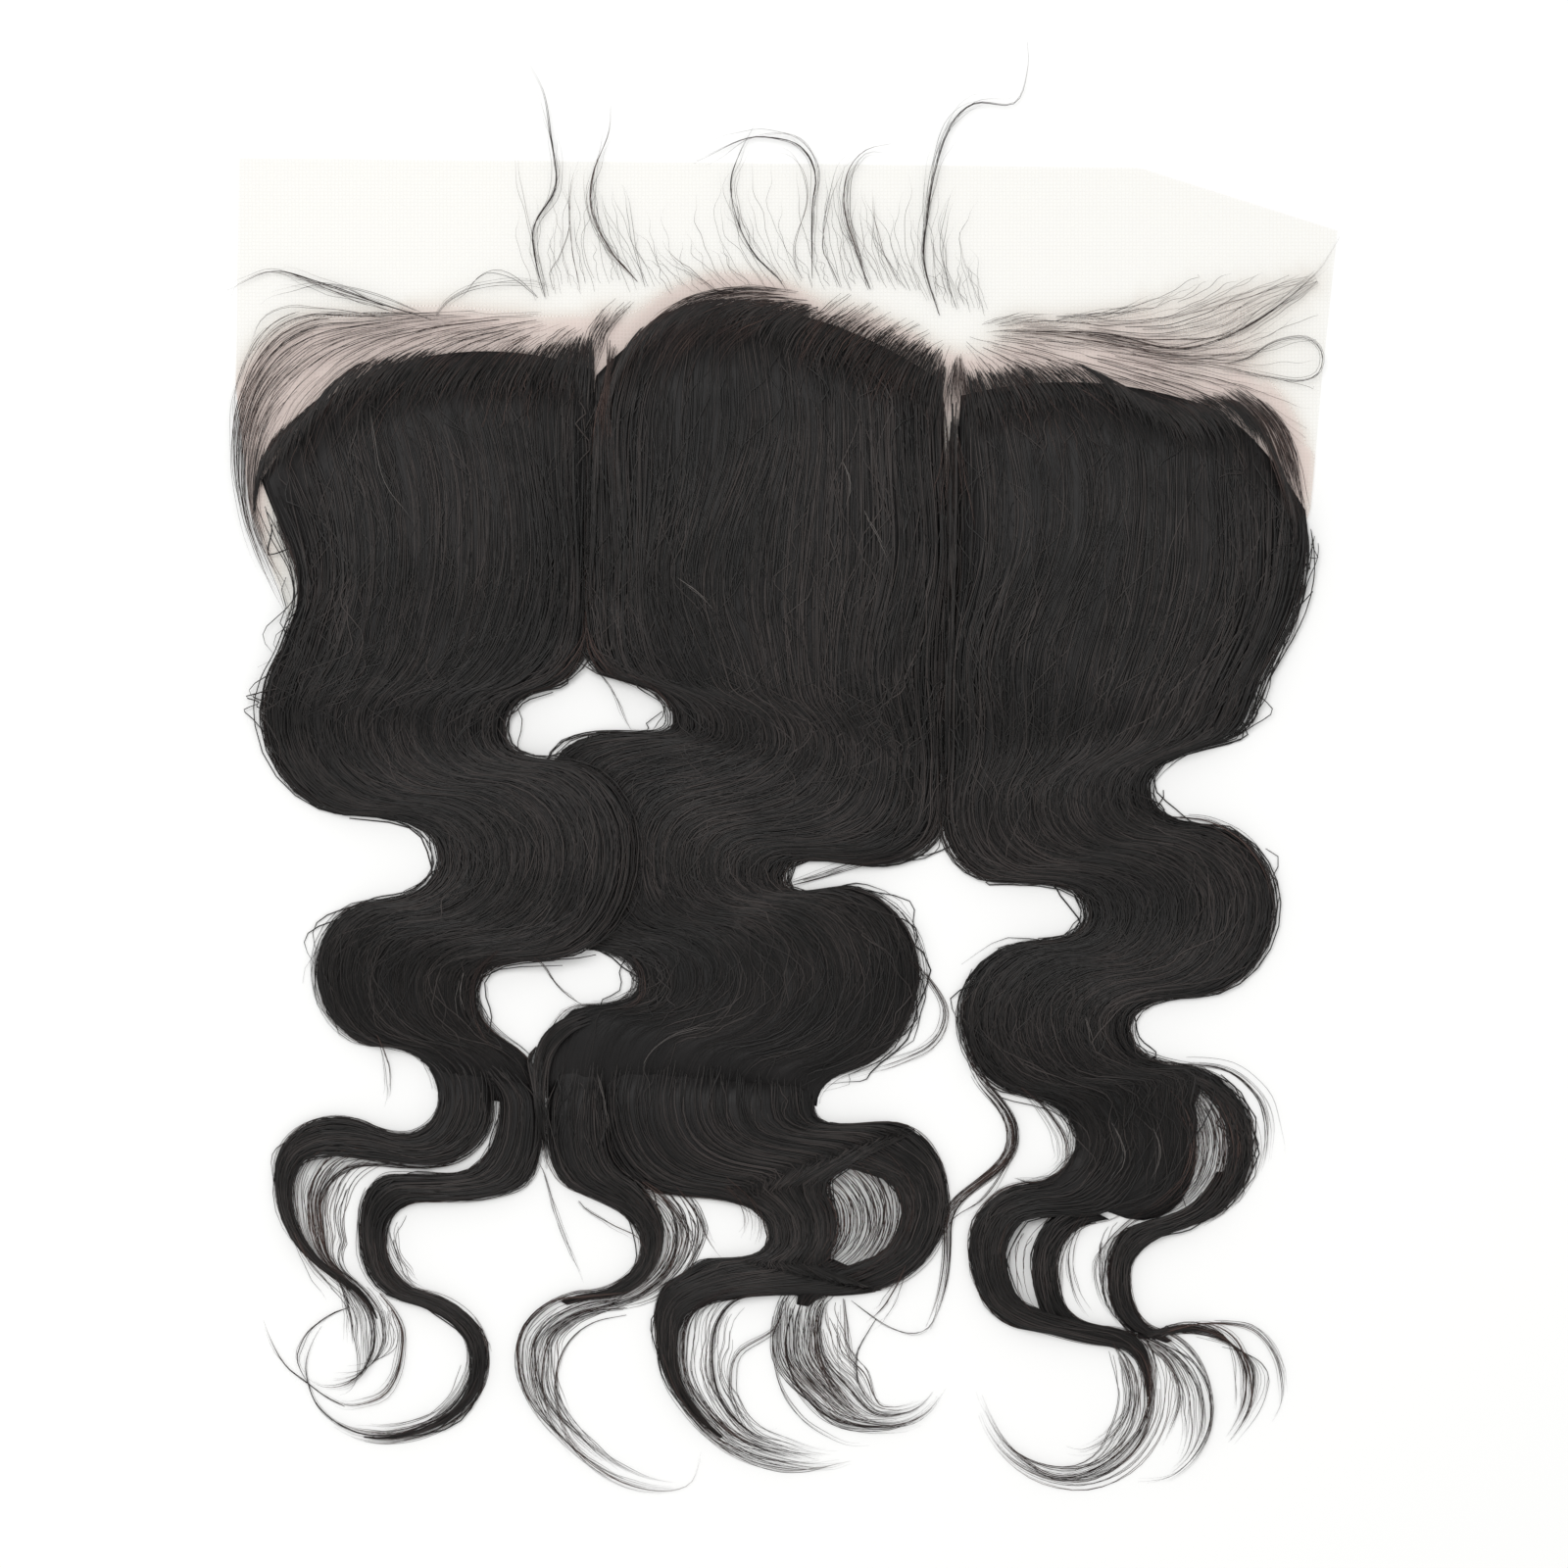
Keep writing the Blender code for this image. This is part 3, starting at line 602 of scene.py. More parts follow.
def band_arrays(lock, band, seed):
    """The closed ring mesh of one band: corners, quads and uv."""
    start, end = band[0].s, band[-1].s
    s = np.linspace(start, end, max(int((end - start) * MASS_STEPS), 4) + 1)[:, None]
    low, high = band_edges(band, s)
    middle = cut_at(lock.rows, s)
    width = np.linalg.norm(middle.right - middle.left, axis=-1)
    lanes = max(int((width * (high - low)).max() / MASS_LANE), 6)
    v = np.linspace(0, 1, lanes + 1)[None, :]
    u = low + (high - low) * v
    s_grid = np.broadcast_to(s, u.shape)
    plan, top, under = in_lock(lock, s_grid, u)
    thinned = smooth((s - start) / MASS_END) * smooth((end - s) / MASS_END)
    rim = 1 - (2 * v - 1) ** 8
    relief = ridges(u * width.mean() / MM, s_grid, seed)
    top = top - MASS_SINK + relief * rim
    top = under + np.maximum(top - under, MASS_FLOOR) * (0.15 + 0.85 * thinned) * (0.25 + 0.75 * rim)
    middle_line = plan.mean(1, keepdims=True)
    run = np.linalg.norm(np.diff(middle_line[:, 0], axis=0), axis=-1)
    along = np.broadcast_to(np.concatenate([[0], np.cumsum(run)])[:, None], u.shape)
    upper = np.concatenate([plan, top[..., None]], -1)
    lower = np.concatenate([plan, under[..., None]], -1)[:, ::-1]
    ring = np.concatenate([upper, lower], 1)
    uv_top = np.stack([u * width.mean(), along], -1) / MM / 100
    uv = np.concatenate([uv_top, uv_top[:, ::-1]], 1)
    quads = grid_quads(*ring.shape[:2], wrap=True)
    columns = ring.shape[1]
    ends = []
    for row in (0, ring.shape[0] - 1):
        lane = np.arange(lanes)
        near, far = row * columns + lane, row * columns + columns - 1 - lane
        cap = np.stack([near, near + 1, far - 1, far], -1)
        ends.append(cap[:, ::-1] if row == 0 else cap)
    return ring.reshape(-1, 3), np.concatenate([quads, *ends]), uv.reshape(-1, 2)


def joined(arrays):
    """Several sets of corners, quads and uv as one."""
    corners, quads, maps, first = [], [], [], 0
    for points, faces, uv in arrays:
        corners.append(points)
        quads.append(faces + first)
        maps.append(uv)
        first += len(points)
    return np.concatenate(corners), np.concatenate(quads), np.concatenate(maps)


# %% [markdown]
# ## Strands
# A hair is about 0.08 mm thick, which is a quarter of a pixel here, and real hairs cling
# together in small bundles. So one strand stands for a bundle: about a third of a millimetre
# wide in the locks, thinner where single hairs show. It is an open ridge that thins to its tip,
# because its underside lies on what is below it and can't be seen.

# %% Strands
RIDGE_RING = ((-1.0, -0.5), (0.0, 0.7), (1.0, -0.5))
ROLL = 0.5
WANDER_WAVES = (0.7, 1.6, 3.1)
TIP_WIDTH = 0.12
ROOT_WIDTH = 0.7
WIDTH_SPREAD = (0.7, 1.3)


def strand_arrays(paths, radii, tones):
    """Strands along paths (strand, point, xyz), with a radius for each point."""
    count, points, _ = paths.shape
    way = np.gradient(paths, axis=1)
    way /= np.maximum(np.linalg.norm(way, axis=-1, keepdims=True), 1e-12)
    side = np.cross(way, (0, 0, 1))
    side /= np.maximum(np.linalg.norm(side, axis=-1, keepdims=True), 1e-12)
    lift = np.cross(side, way)
    roll = rng.uniform(-ROLL, ROLL, (count, 1, 1, 1))
    shape = np.array(RIDGE_RING)
    across, above = shape[:, :1], shape[:, 1:]
    turned = np.cos(roll) * across - np.sin(roll) * above
    raised = np.sin(roll) * across + np.cos(roll) * above
    rings = (paths[:, :, None] + radii[:, :, None, None]
             * (turned * side[:, :, None] + raised * lift[:, :, None]))
    one = grid_quads(points, len(RIDGE_RING))
    first = (np.arange(count) * points * len(RIDGE_RING))[:, None, None]
    share = np.broadcast_to(np.linspace(0, 1, points)[None, :, None], rings.shape[:3])
    tone = np.broadcast_to(tones[:, None, None], rings.shape[:3])
    uv = np.stack([tone, share], -1)
    return rings.reshape(-1, 3), (one[None] + first).reshape(-1, 4), uv.reshape(-1, 2)


def drift(count, points, size):
    """A smooth wander along each strand, in the units of size."""
    share = np.linspace(0, 1, points)[None, :]
    total = np.zeros((count, points))
    for number, wave in enumerate(WANDER_WAVES):
        turns = wave * rng.uniform(0.7, 1.3, (count, 1))
        phase = rng.uniform(0, 2 * np.pi, (count, 1))
        total += np.sin(2 * np.pi * turns * share + phase) / (number + 1)
    return total * size / 1.3


def taper(count, points):
    """How wide a strand is along it: a little less at the root, and least at the tip."""
    share = np.linspace(0, 1, points)[None, :]
    shape = np.minimum(smooth(share / 0.12) * (1 - ROOT_WIDTH) + ROOT_WIDTH, 1)
    shape = shape * (TIP_WIDTH + (1 - TIP_WIDTH) * smooth((1 - share) / 0.35))
    return np.broadcast_to(shape, (count, points))


# How strands grow along a lock. Between the keys they follow it from a start for a run of
# rows, wander across it, and lie at a height over its top. Those with a rim bow out past it.
# Ragged is how many rows before the last key they may end, and steps the points in a row.
Growth = namedtuple("Growth", "lock keys count start run width wander height rim ragged steps",
                    defaults=(0, 0.5, 5))
RIM_OVER = 0.012
RIM_SHARE = 0.03
RIM_FALL = 6 * MM
STRAND_SINK = 1.2 * MM
SINK_ROWS = 0.3
SWAYS = ((120, 160, 2.4, 1.0), (70, -110, 1.3, 2.6))
EDDIES = (
    (715, 590, -7.0, 20, 24), (870, 555, 7.0, 24, 28), (760, 430, 4.0, 15, 18),
    (392, 455, -6.0, 14, 22), (500, 520, 5.0, 20, 26), (350, 620, 4.0, 16, 24),
    (1105, 500, 6.0, 22, 28), (1232, 545, 7.0, 18, 26), (1050, 650, -4.0, 18, 24),
)


def sway(plan, s):
    """How far hair that was combed by hand drifts to and fro before its first bend. Each eddy
    is a place in the photograph, a shift and two reaches in millimetres."""
    x, y = plan[..., 0] / MM, plan[..., 1] / MM
    shift = sum(size * np.sin(2 * np.pi * (y / along + x / across) + phase)
                for along, across, size, phase in SWAYS) * smooth((4 - s) / 1.5)
    for spot_x, spot_y, size, wide, tall in EDDIES:
        near_x, near_y = photo((spot_x, spot_y)) / MM
        shift = shift + size * np.exp(-((x - near_x) / wide) ** 2 - ((y - near_y) / tall) ** 2)
    return shift * MM * smooth(s / 0.8) * smooth((6.5 - s) / 1.5)


def lock_strands(growth):
    """Strands that follow a lock, as arrays."""
    g = growth
    count = g.count
    order = (np.arange(count) + rng.uniform(0, 1, count)) / count
    v = -RIM_OVER + (1 + 2 * RIM_OVER) * rng.permutation(order)[:, None]
    start = rng.uniform(*g.start, (count, 1))
    limit = g.keys[-1].s - g.ragged * rng.uniform(0, 1, (count, 1)) ** 2
    end = np.maximum(np.minimum(start + rng.uniform(*g.run, (count, 1)), limit), start + 0.3)
    points = int(g.steps * g.run[1]) + 2
    share = np.linspace(0, 1, points)[None, :]
    s = start + (end - start) * share
    low, high = band_edges(g.keys, s)
    cut = cut_at(g.lock.rows, s)
    width = np.maximum(np.linalg.norm(cut.right - cut.left, axis=-1), 3 * MM)
    across = drift(count, points, g.wander)
    if g.rim:
        v = (v > 0.5) * 1.0
        across += (2 * v - 1) * rng.uniform(0, 1, (count, 1)) ** 2 * g.rim * np.sin(np.pi * share)
    u = low + (high - low) * v + across / width
    plan, top, under = in_lock(g.lock, s, u)
    if g.lock.thick == HAIR_THICK:
        inside = 1 - np.clip(np.abs(2 * u - 1), 0, 1) ** 6
        plan[..., 0] += sway(plan, s) * inside * rng.uniform(0.5, 1.2, (count, 1))
    outside = np.maximum(np.maximum(-u, u - 1), 0) * width
    hang = np.where(np.abs(2 * v - 1) > 1 - 2 * RIM_SHARE, rng.uniform(0.15, 1, (count, 1)), 1)
    top = under + (top - under) * hang * np.clip(1 - outside / RIM_FALL, 0.2, 1)
    lift = rng.uniform(*g.height, (count, 1)) + drift(count, points, 0.15 * MM)
    sunk = 1 - smooth((s - start) / SINK_ROWS) * smooth((end - s) / SINK_ROWS)
    z = np.maximum(top + lift - sunk * STRAND_SINK, under + g.width / 2)
    paths = np.concatenate([plan, z[..., None]], -1)
    radii = taper(count, points) * g.width / 2 * rng.uniform(*WIDTH_SPREAD, (count, 1))
    return strand_arrays(paths, radii, rng.uniform(0, 1, count))


# %% [markdown]
# ## Hair as a material
# Hair is keratin, with an index of refraction of 1.55. Processed black-brown hair takes in
# most light, so what the eye sees is mainly the gloss along it, broken up strand by strand. A
# hair shader would follow light inside single fibres, but these strands stand for bundles and
# have to look right as plain meshes too, so a principled surface with strand-wise tone and
# roughness suits them. Where hairs lie singly over pale lace, light passes through them and
# they look brown, so the fine hair has a warmer colour.

# %% Hair as a material
KERATIN_IOR = 1.55
HAIR_SPECULAR = 0.22
STREAK_WIDTH = 0.45 * MM
STREAK_LENGTH = 60 * MM
PATCH = 22 * MM


def painted_light_patches(tree):
    """Broad patches of painted light and shade, because the hair doesn't lie evenly to the light."""
    spot = add_node(tree, "ShaderNodeTexCoord")
    cloud = add_node(tree, "ShaderNodeTexNoise", {
        "Vector": spot.outputs["Object"], "Scale": 1 / PATCH, "Detail": 2.0,
    })
    share = add_node(tree, "ShaderNodeMapRange", {
        "Value": cloud.outputs["Fac"], "From Min": 0.32, "From Max": 0.68,
        "To Min": 0.3, "To Max": 1.5,
    })
    return share.outputs["Result"]


def strand_material(name, dark, light, roughness):
    """Hair whose tone changes from strand to strand, by the strand's own x in the map."""
    made, tree = new_material(name)
    uv = add_node(tree, "ShaderNodeUVMap", uv_map="strand_map")
    spread = add_node(tree, "ShaderNodeSeparateXYZ", {"Vector": uv.outputs["UV"]})
    dice = add_node(tree, "ShaderNodeTexWhiteNoise", {"W": spread.outputs["X"]},
                    noise_dimensions="1D")
    few_light = add_node(tree, "ShaderNodeMath", {0: dice.outputs["Value"], 1: 2.5},
                         operation="POWER")
    # Each strand's own tone, lightened and darkened in broad patches of painted light and shade.
    lit = add_node(tree, "ShaderNodeMath", {0: few_light.outputs["Value"], 1: painted_light_patches(tree)},
                   operation="MULTIPLY")
    tone = add_node(tree, "ShaderNodeMix", {
        "Factor": lit.outputs["Value"], "A": hex_linear(dark), "B": hex_linear(light),
    }, data_type="RGBA")
    gloss = add_node(tree, "ShaderNodeMapRange", {
        "Value": dice.outputs["Value"], "To Min": roughness - 0.06, "To Max": roughness + 0.08,
    })
    surface = add_node(tree, "ShaderNodeBsdfPrincipled", {
        "Base Color": tone.outputs["Result"], "Roughness": gloss.outputs["Result"],
        "IOR": KERATIN_IOR, "Specular IOR Level": HAIR_SPECULAR,
    })
    finish_material(tree, surface.outputs["BSDF"])
    return made


def dense_hair_material(name, dark, light, roughness):
    """Combed hair seen as a surface: fine streaks along it, in colour and in height."""
    made, tree = new_material(name)
    uv = add_node(tree, "ShaderNodeUVMap", uv_map="strand_map")
    decimetre = 100 * MM
    stretch = add_node(tree, "ShaderNodeMapping", {
        "Vector": uv.outputs["UV"],
        "Scale": (decimetre / STREAK_WIDTH, decimetre / STREAK_LENGTH, 1.0),
    })
    streaks = add_node(tree, "ShaderNodeTexNoise", {
        "Vector": stretch.outputs["Vector"], "Scale": 1.0, "Detail": 3.0, "Roughness": 0.6,
    })
    # The streaks' tone, lightened and darkened in broad patches of painted light and shade.
    lit = add_node(tree, "ShaderNodeMath", {0: streaks.outputs["Fac"], 1: painted_light_patches(tree)},
                   operation="MULTIPLY")
    tone = add_node(tree, "ShaderNodeMix", {
        "Factor": lit.outputs["Value"], "A": hex_linear(dark), "B": hex_linear(light),
    }, data_type="RGBA")
    bump = add_node(tree, "ShaderNodeBump", {
        "Height": streaks.outputs["Fac"], "Strength": 0.5, "Distance": 0.4 * MM,
    })
    surface = add_node(tree, "ShaderNodeBsdfPrincipled", {
        "Base Color": tone.outputs["Result"], "Roughness": roughness, "IOR": KERATIN_IOR,
        "Specular IOR Level": HAIR_SPECULAR, "Normal": bump.outputs["Normal"],
    })
    finish_material(tree, surface.outputs["BSDF"])
    return made


dense_hair = dense_hair_material("black_brown_hair_dense", "#0E0D0D", "#181515", 0.5)
lock_hair = strand_material("black_brown_hair_strands", "#0F0E0D", "#3A3432", 0.42)
fine_hair = strand_material("black_brown_hair_fine", "#1D1716", "#54413B", 0.45)
# Pale strands with painted highlights: the sheen where the waves catch the light is put into their
# colour.
painted_highlight_hair = strand_material("black_brown_hair_painted_highlight", "#4A4644", "#6E6966", 0.35)

# %% [markdown]
# ## Growing the sections
# Each section gets its dense inside and then its strands, lock by lock. The number of strands
# follows the lock's width, so that fine and broad locks are equally thick with hair. Combed
# strands alone would look like plastic, so shorter ones cross them at a slight angle, and a
# thin fringe of finer hairs leaves each edge and comes back to it.

# %% Growing the sections
BODY_STRAND = 0.36 * MM
LOCK_STRAND = 0.34 * MM
FRINGE_HAIR = 0.13 * MM
COMBED_LAYERS = 2.1
CROSSING_LAYERS = 0.5


def strand_count(lock, keys, layers, strand):
    s = np.linspace(keys[0].s, keys[-1].s, 20)
    low, high = band_edges(keys, s)
    cut = cut_at(lock.rows, s)
    width = (np.linalg.norm(cut.right - cut.left, axis=-1) * (high - low)).mean()
    return max(int(layers * width / strand), 6)


def dense_growths(lock):
    """The strands over the bands of a lock: combed ones, and a few that cross them."""
    body = lock.thick == HAIR_THICK
    strand = BODY_STRAND if body else LOCK_STRAND
    follow = lock if body else lock._replace(rows=bedded(lock.rows))
    for keys in lock.bands:
        first, rows = keys[0].s, keys[-1].s - keys[0].s
        start = (first, first + min(0.9 if body else 1.5, rows / 3))
        count = strand_count(lock, keys, COMBED_LAYERS, strand)
        yield Growth(follow, keys, count, start, (0.85 * rows, rows), strand,
                     2.2 * MM if body else 0.7 * MM, (-0.5 * MM, 0.4 * MM), 0, 1.3)
        if rows > 3:
            count = strand_count(lock, keys, CROSSING_LAYERS * rows / 3, strand)
            yield Growth(follow, keys, count, (first, first + rows - 2.5), (1.2, 3.2), strand,
                         5.5 * MM if body else 1.8 * MM, (0.1 * MM, 0.5 * MM))


def thin_growths(lock):
    """The strands of a lock's veils, and the fringe along its edges."""
    last = len(lock.rows) - 1
    for veil in lock.veils:
        keys = veil.keys
        rows = keys[-1].s - keys[0].s
        count = strand_count(lock, keys, veil.cover, veil.strand)
        yield Growth(lock, keys, count, (keys[0].s, keys[0].s + rows / 3), (0.5 * rows, rows),
                     veil.strand, 0.6 * MM, (-0.3 * MM, 0.3 * MM), 0, 0.4 * rows, 7)
    body = lock.thick == HAIR_THICK
    whole = (Key(0, 0, 1), Key(last, 0, 1))
    yield Growth(lock, whole, 6 * last, (0.5, last - 1.5), (1.0, 2.6), FRINGE_HAIR, 0.25 * MM,
                 (-0.5 * MM, 0.3 * MM), 2.4 * MM if body else 1.6 * MM, 0, 9)


for side, locks in SECTIONS.items():
    inside = [band_arrays(lock, keys, 7 * number + len(side))
              for number, lock in enumerate(locks) for keys in lock.bands]
    mass = mesh_piece(f"{side}_hair_dense", *joined(inside), dense_hair)
    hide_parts(f"{side}_section")
    for part, members in (("body", locks[:1]), ("lock", locks[1:])):
        grown = [lock_strands(growth) for lock in members for growth in dense_growths(lock)]
        strands = mesh_piece(f"{side}_{part}_strands", *joined(grown), lock_hair)
    grown = [lock_strands(growth) for lock in locks for growth in thin_growths(lock)]
    mesh_piece(f"{side}_hair_thin", *joined(grown), fine_hair)

# %% [markdown]
# ## What the loose hairs lie on
# A loose hair rests on whatever is below it: lace, board or the dense hair. A height map tells
# it how high that is. It is filled from many points on the locks, one cell a millimetre wide.

# %% What the loose hairs lie on
CELL = 1 * MM
MAP_REACH = 0.26


def empty_map(size):
    """A square map over the whole piece, in cells of a size."""
    cells = int(2 * MAP_REACH / size)
    return np.zeros((cells, cells))


def cell_of(plan, size=CELL):
    """The cell of such a map that each place lies in."""
    cells = int(2 * MAP_REACH / size)
    index = ((plan - (centre_x, centre_y)) / size + cells / 2).astype(int)
    return np.clip(index, 0, cells - 1)


hair_height = empty_map(CELL)
for locks in SECTIONS.values():
    for lock in locks:
        s, u = np.meshgrid(np.linspace(0, len(lock.rows) - 1, 60 * len(lock.rows)),
                           np.linspace(0, 1, 260), indexing="ij")
        plan, top, under = in_lock(lock, s, u)
        spots = cell_of(plan)
        np.maximum.at(hair_height, (spots[..., 0], spots[..., 1]), top)
print(f"the hair is {hair_height.max() / MM:.1f} mm high at most")


def resting_height(plan):
    spots = cell_of(plan)
    height = np.maximum(hair_height[spots[..., 0], spots[..., 1]], bed(plan[..., 1]))
    for _ in range(3):
        eased = (np.roll(height, 1, -1) + height + np.roll(height, -1, -1)) / 3
        eased[..., 0], eased[..., -1] = height[..., 0], height[..., -1]
        height = np.maximum(height, eased)
    return height


# %% [markdown]
# ## Combing loose hair
# Loose hair is groomed as in a hair system: a few guide hairs are given, and the rest
# are interpolated between neighbouring guides. A guide is a handful of pixels read from the
# photograph, root first. Doing it in code keeps it all as plain meshes.

# %% Combing loose hair
GUIDE_POINTS = 64
Comb = namedtuple(
    "Comb",
    "guides hairs width spread start length wander lift fan",
    defaults=(0.20, 0.0, (0.0, 0.0), (0.9, 1.0), 0.5, 1.0, 1.0),
)
POINT_SPACING = 2.4 * MM
comb_lines = {}


def guide_line(points):
    """A smooth line through a guide's points, evenly spaced along its length."""
    spots = photo(points)
    spots = np.concatenate([[2 * spots[0] - spots[1]], spots, [2 * spots[-1] - spots[-2]]])
    t = np.linspace(0, 1, 12, endpoint=False)[:, None]
    line = []
    for a, b, c, d in zip(spots, spots[1:], spots[2:], spots[3:]):
        line.append(0.5 * (2 * b + (c - a) * t + (2 * a - 5 * b + 4 * c - d) * t**2
                           + (3 * b - a - 3 * c + d) * t**3))
    line = np.concatenate([*line, spots[-2:-1]])
    run = np.concatenate([[0], np.cumsum(np.linalg.norm(np.diff(line, axis=0), axis=-1))])
    even = np.linspace(0, run[-1], GUIDE_POINTS)
    return np.stack([np.interp(even, run, line[:, 0]), np.interp(even, run, line[:, 1])], -1)


def combed(comb):
    """The hairs of a comb, as arrays. Widths, spreads, wanders and lifts are in millimetres,
    start and length are ranges of shares of a guide, and a fan below 1 roots more hairs
    further along."""
    lines = np.stack([guide_line(guide) for guide in comb.guides])
    count = comb.hairs
    longest = np.linalg.norm(np.diff(lines, axis=1), axis=-1).sum(1).max() * comb.length[1]
    points = int(np.clip(longest / POINT_SPACING, 6, 60))
    order = (np.arange(count) + rng.uniform(0, 1, count)) / count
    between = rng.permutation(order) * (len(lines) - 1)
    index = np.clip(between.astype(int), 0, max(len(lines) - 2, 0))
    part = (between - index)[:, None, None]
    following = np.minimum(index + 1, len(lines) - 1)
    hairs = lines[index] * (1 - part) + lines[following] * part
    chance = rng.uniform(0, 1, (count, 1)) ** comb.fan
    start = comb.start[0] + (comb.start[1] - comb.start[0]) * chance
    length = rng.uniform(*comb.length, (count, 1))
    share = np.linspace(0, 1, points)[None, :]
    where = np.clip(start + length * share, 0, 1) * (GUIDE_POINTS - 1)
    low = np.clip(where.astype(int), 0, GUIDE_POINTS - 2)
    step = (where - low)[..., None]
    row = np.arange(count)[:, None]
    plan = hairs[row, low] * (1 - step) + hairs[row, low + 1] * step
    way = np.gradient(plan, axis=1)
    way /= np.maximum(np.linalg.norm(way, axis=-1, keepdims=True), 1e-12)
    across = np.stack([-way[..., 1], way[..., 0]], -1)
    offset = rng.normal(0, comb.spread * MM, (count, 1)) * (0.35 + 0.65 * share)
    wander = drift(count, points, comb.wander * MM) * (0.15 + 0.85 * share)
    plan = plan + (offset + wander)[..., None] * across
    rise = rng.uniform(0.2, 1.0, (count, 1)) * comb.lift * MM * np.sin(np.pi * share) ** 0.7
    radius = comb.width * MM / 2
    z = resting_height(plan) + radius + 0.15 * MM + rise
    paths = np.concatenate([plan, z[..., None]], -1)
    radii = taper(count, points) * radius * rng.uniform(*WIDTH_SPREAD, (count, 1))
    return strand_arrays(paths, radii, rng.uniform(0, 1, count))


def comb_piece(name, combs, material, *nodes):
    grown = [combed(comb) for comb in combs]
    comb_lines[name] = np.concatenate([corners.reshape(-1, len(RIDGE_RING), 3)[:, 1]
                                       for corners, _, _ in grown])
    piece = mesh_piece(name, *joined(grown), material)
    if nodes:
        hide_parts(*nodes)
    return piece


# %% [markdown]
# ## The forward wisps
# A few hairs were combed forward over the bare lace, in loops and hooks. Each wisp is a small
# bundle round one guide, and stands for one of the thin solids. In a bundle some hairs are
# dark and long, and others are finer, shorter and wander off it.

# %% The forward wisps
FORWARD_WISPS = {
    "front_wisp_a": ((557, 306), (546, 261), (546, 230), (568, 190), (562, 136), (555, 96), (539, 65)),
    "front_wisp_b": ((651, 288), (624, 257), (604, 216), (606, 176), (622, 136), (624, 105)),
    "front_wisp_c": ((829, 286), (829, 216), (832, 176), (816, 149), (789, 141), (758, 143), (707, 167)),
    "front_wisp_d": ((798, 288), (771, 261), (754, 230), (745, 190), (754, 158), (771, 127)),
    "front_wisp_e": ((888, 297), (872, 252), (861, 212), (865, 176), (883, 154), (910, 147)),
    "front_wisp_f": ((959, 324), (943, 270), (946, 221), (954, 172), (970, 127), (995, 105),
                     (1035, 105), (1048, 69), (1048, 42)),
    "side_wisp_right": ((1017, 338), (1121, 340), (1204, 356), (1271, 334), (1338, 283), (1367, 241)),
    "side_wisp_left": ((440, 326), (388, 310), (330, 290), (280, 277), (232, 296)),
}
WISP_NEIGHBOURS = {
    "front_wisp_a": (((557, 306), (552, 278), (544, 250), (536, 215), (528, 180), (530, 130)),
                     ((566, 300), (561, 278), (571, 264), (580, 225), (572, 180)),
                     ((592, 300), (589, 278), (583, 250), (580, 200), (590, 150)),
                     ((552, 306), (522, 281), (495, 278), (471, 300), (449, 320))),
    "front_wisp_b": (((652, 290), (638, 271), (619, 250), (606, 200), (612, 150), (618, 100)),
                     ((660, 300), (650, 262), (640, 215), (628, 170))),
    "front_wisp_c": (((820, 290), (812, 274), (810, 250), (822, 200), (806, 160), (770, 158)),
                     ((732, 300), (721, 290), (705, 277), (684, 265), (668, 240))),
    "front_wisp_d": (((804, 301), (794, 285), (777, 269), (761, 250), (748, 215), (742, 170)),),
    "front_wisp_e": (((919, 293), (909, 274), (898, 250), (890, 216), (890, 185)),
                     ((858, 295), (847, 271), (839, 250), (846, 200), (866, 160), (900, 150)),
                     ((885, 295), (876, 262), (866, 225), (868, 185), (884, 158), (915, 156))),
    "front_wisp_f": (((977, 320), (965, 282), (960, 250), (966, 215), (980, 180)),
                     ((957, 312), (946, 282), (941, 250), (950, 200), (962, 160), (990, 130))),
    "side_wisp_right": (((1100, 340), (1178, 357), (1248, 345), (1290, 314), (1341, 281)),
                        ((1178, 330), (1234, 314), (1290, 299), (1341, 282), (1366, 250)),
                        ((1066, 329), (1120, 317), (1148, 316), (1178, 300), (1193, 283)),
                        ((1178, 371), (1234, 373), (1290, 385), (1340, 396))),
    "side_wisp_left": (((400, 314), (335, 296), (282, 277), (253, 283), (235, 297), (236, 336)),
                       ((430, 320), (385, 302), (330, 290), (280, 300), (255, 320)),
                       ((390, 322), (340, 316), (290, 314), (262, 332), (245, 370))),
}
FORWARD_FAN = (
    ((545, 308), (535, 270), (528, 220), (530, 160)), ((600, 300), (590, 250), (600, 190), (610, 130)),
    ((660, 300), (640, 255), (615, 210), (610, 160)), ((735, 300), (700, 270), (690, 230), (700, 180)),
    ((800, 300), (770, 255), (750, 200), (760, 140)), ((850, 296), (835, 240), (832, 180), (815, 140)),
    ((890, 297), (872, 250), (862, 205), (880, 155)), ((925, 298), (905, 255), (892, 200), (900, 150)),
    ((957, 312), (945, 270), (944, 210), (960, 150)), ((980, 318), (968, 270), (965, 215), (985, 160)),
    ((1010, 325), (1000, 290), (995, 250), (1005, 200)),
)
for name, guide in FORWARD_WISPS.items():
    combs = [Comb((guide,), 2, 0.22, 0.12, (0, 0.02), (0.97, 1), 0.3),
             Comb((guide,), 8, 0.09, 1.4, (0, 0.3), (0.4, 0.7), 1.4)]
    combs += [Comb((near,), 2, 0.12, 0.5, (0, 0.1), (0.75, 0.9), 0.8)
              for near in WISP_NEIGHBOURS[name]]
    comb_piece(f"{name}_hairs", combs, fine_hair, name)
comb_piece("forward_fan", [Comb(FORWARD_FAN, 110, 0.09, 0.8, (0, 0.1), (0.15, 0.8), 2.0)], fine_hair)

# %% [markdown]
# ## The baby hair along the hairline
# On a lace frontal the hairline is thin on purpose. Short fine hairs are knotted in one by one,
# and each partly hides the pale lace, so the edge turns from black over brown to cream. They
# fan out from two whorls, one beside each parting. Scattered evenly they would look like fur,
# so each group follows its own guides, and most hairs lie near the dense edge.

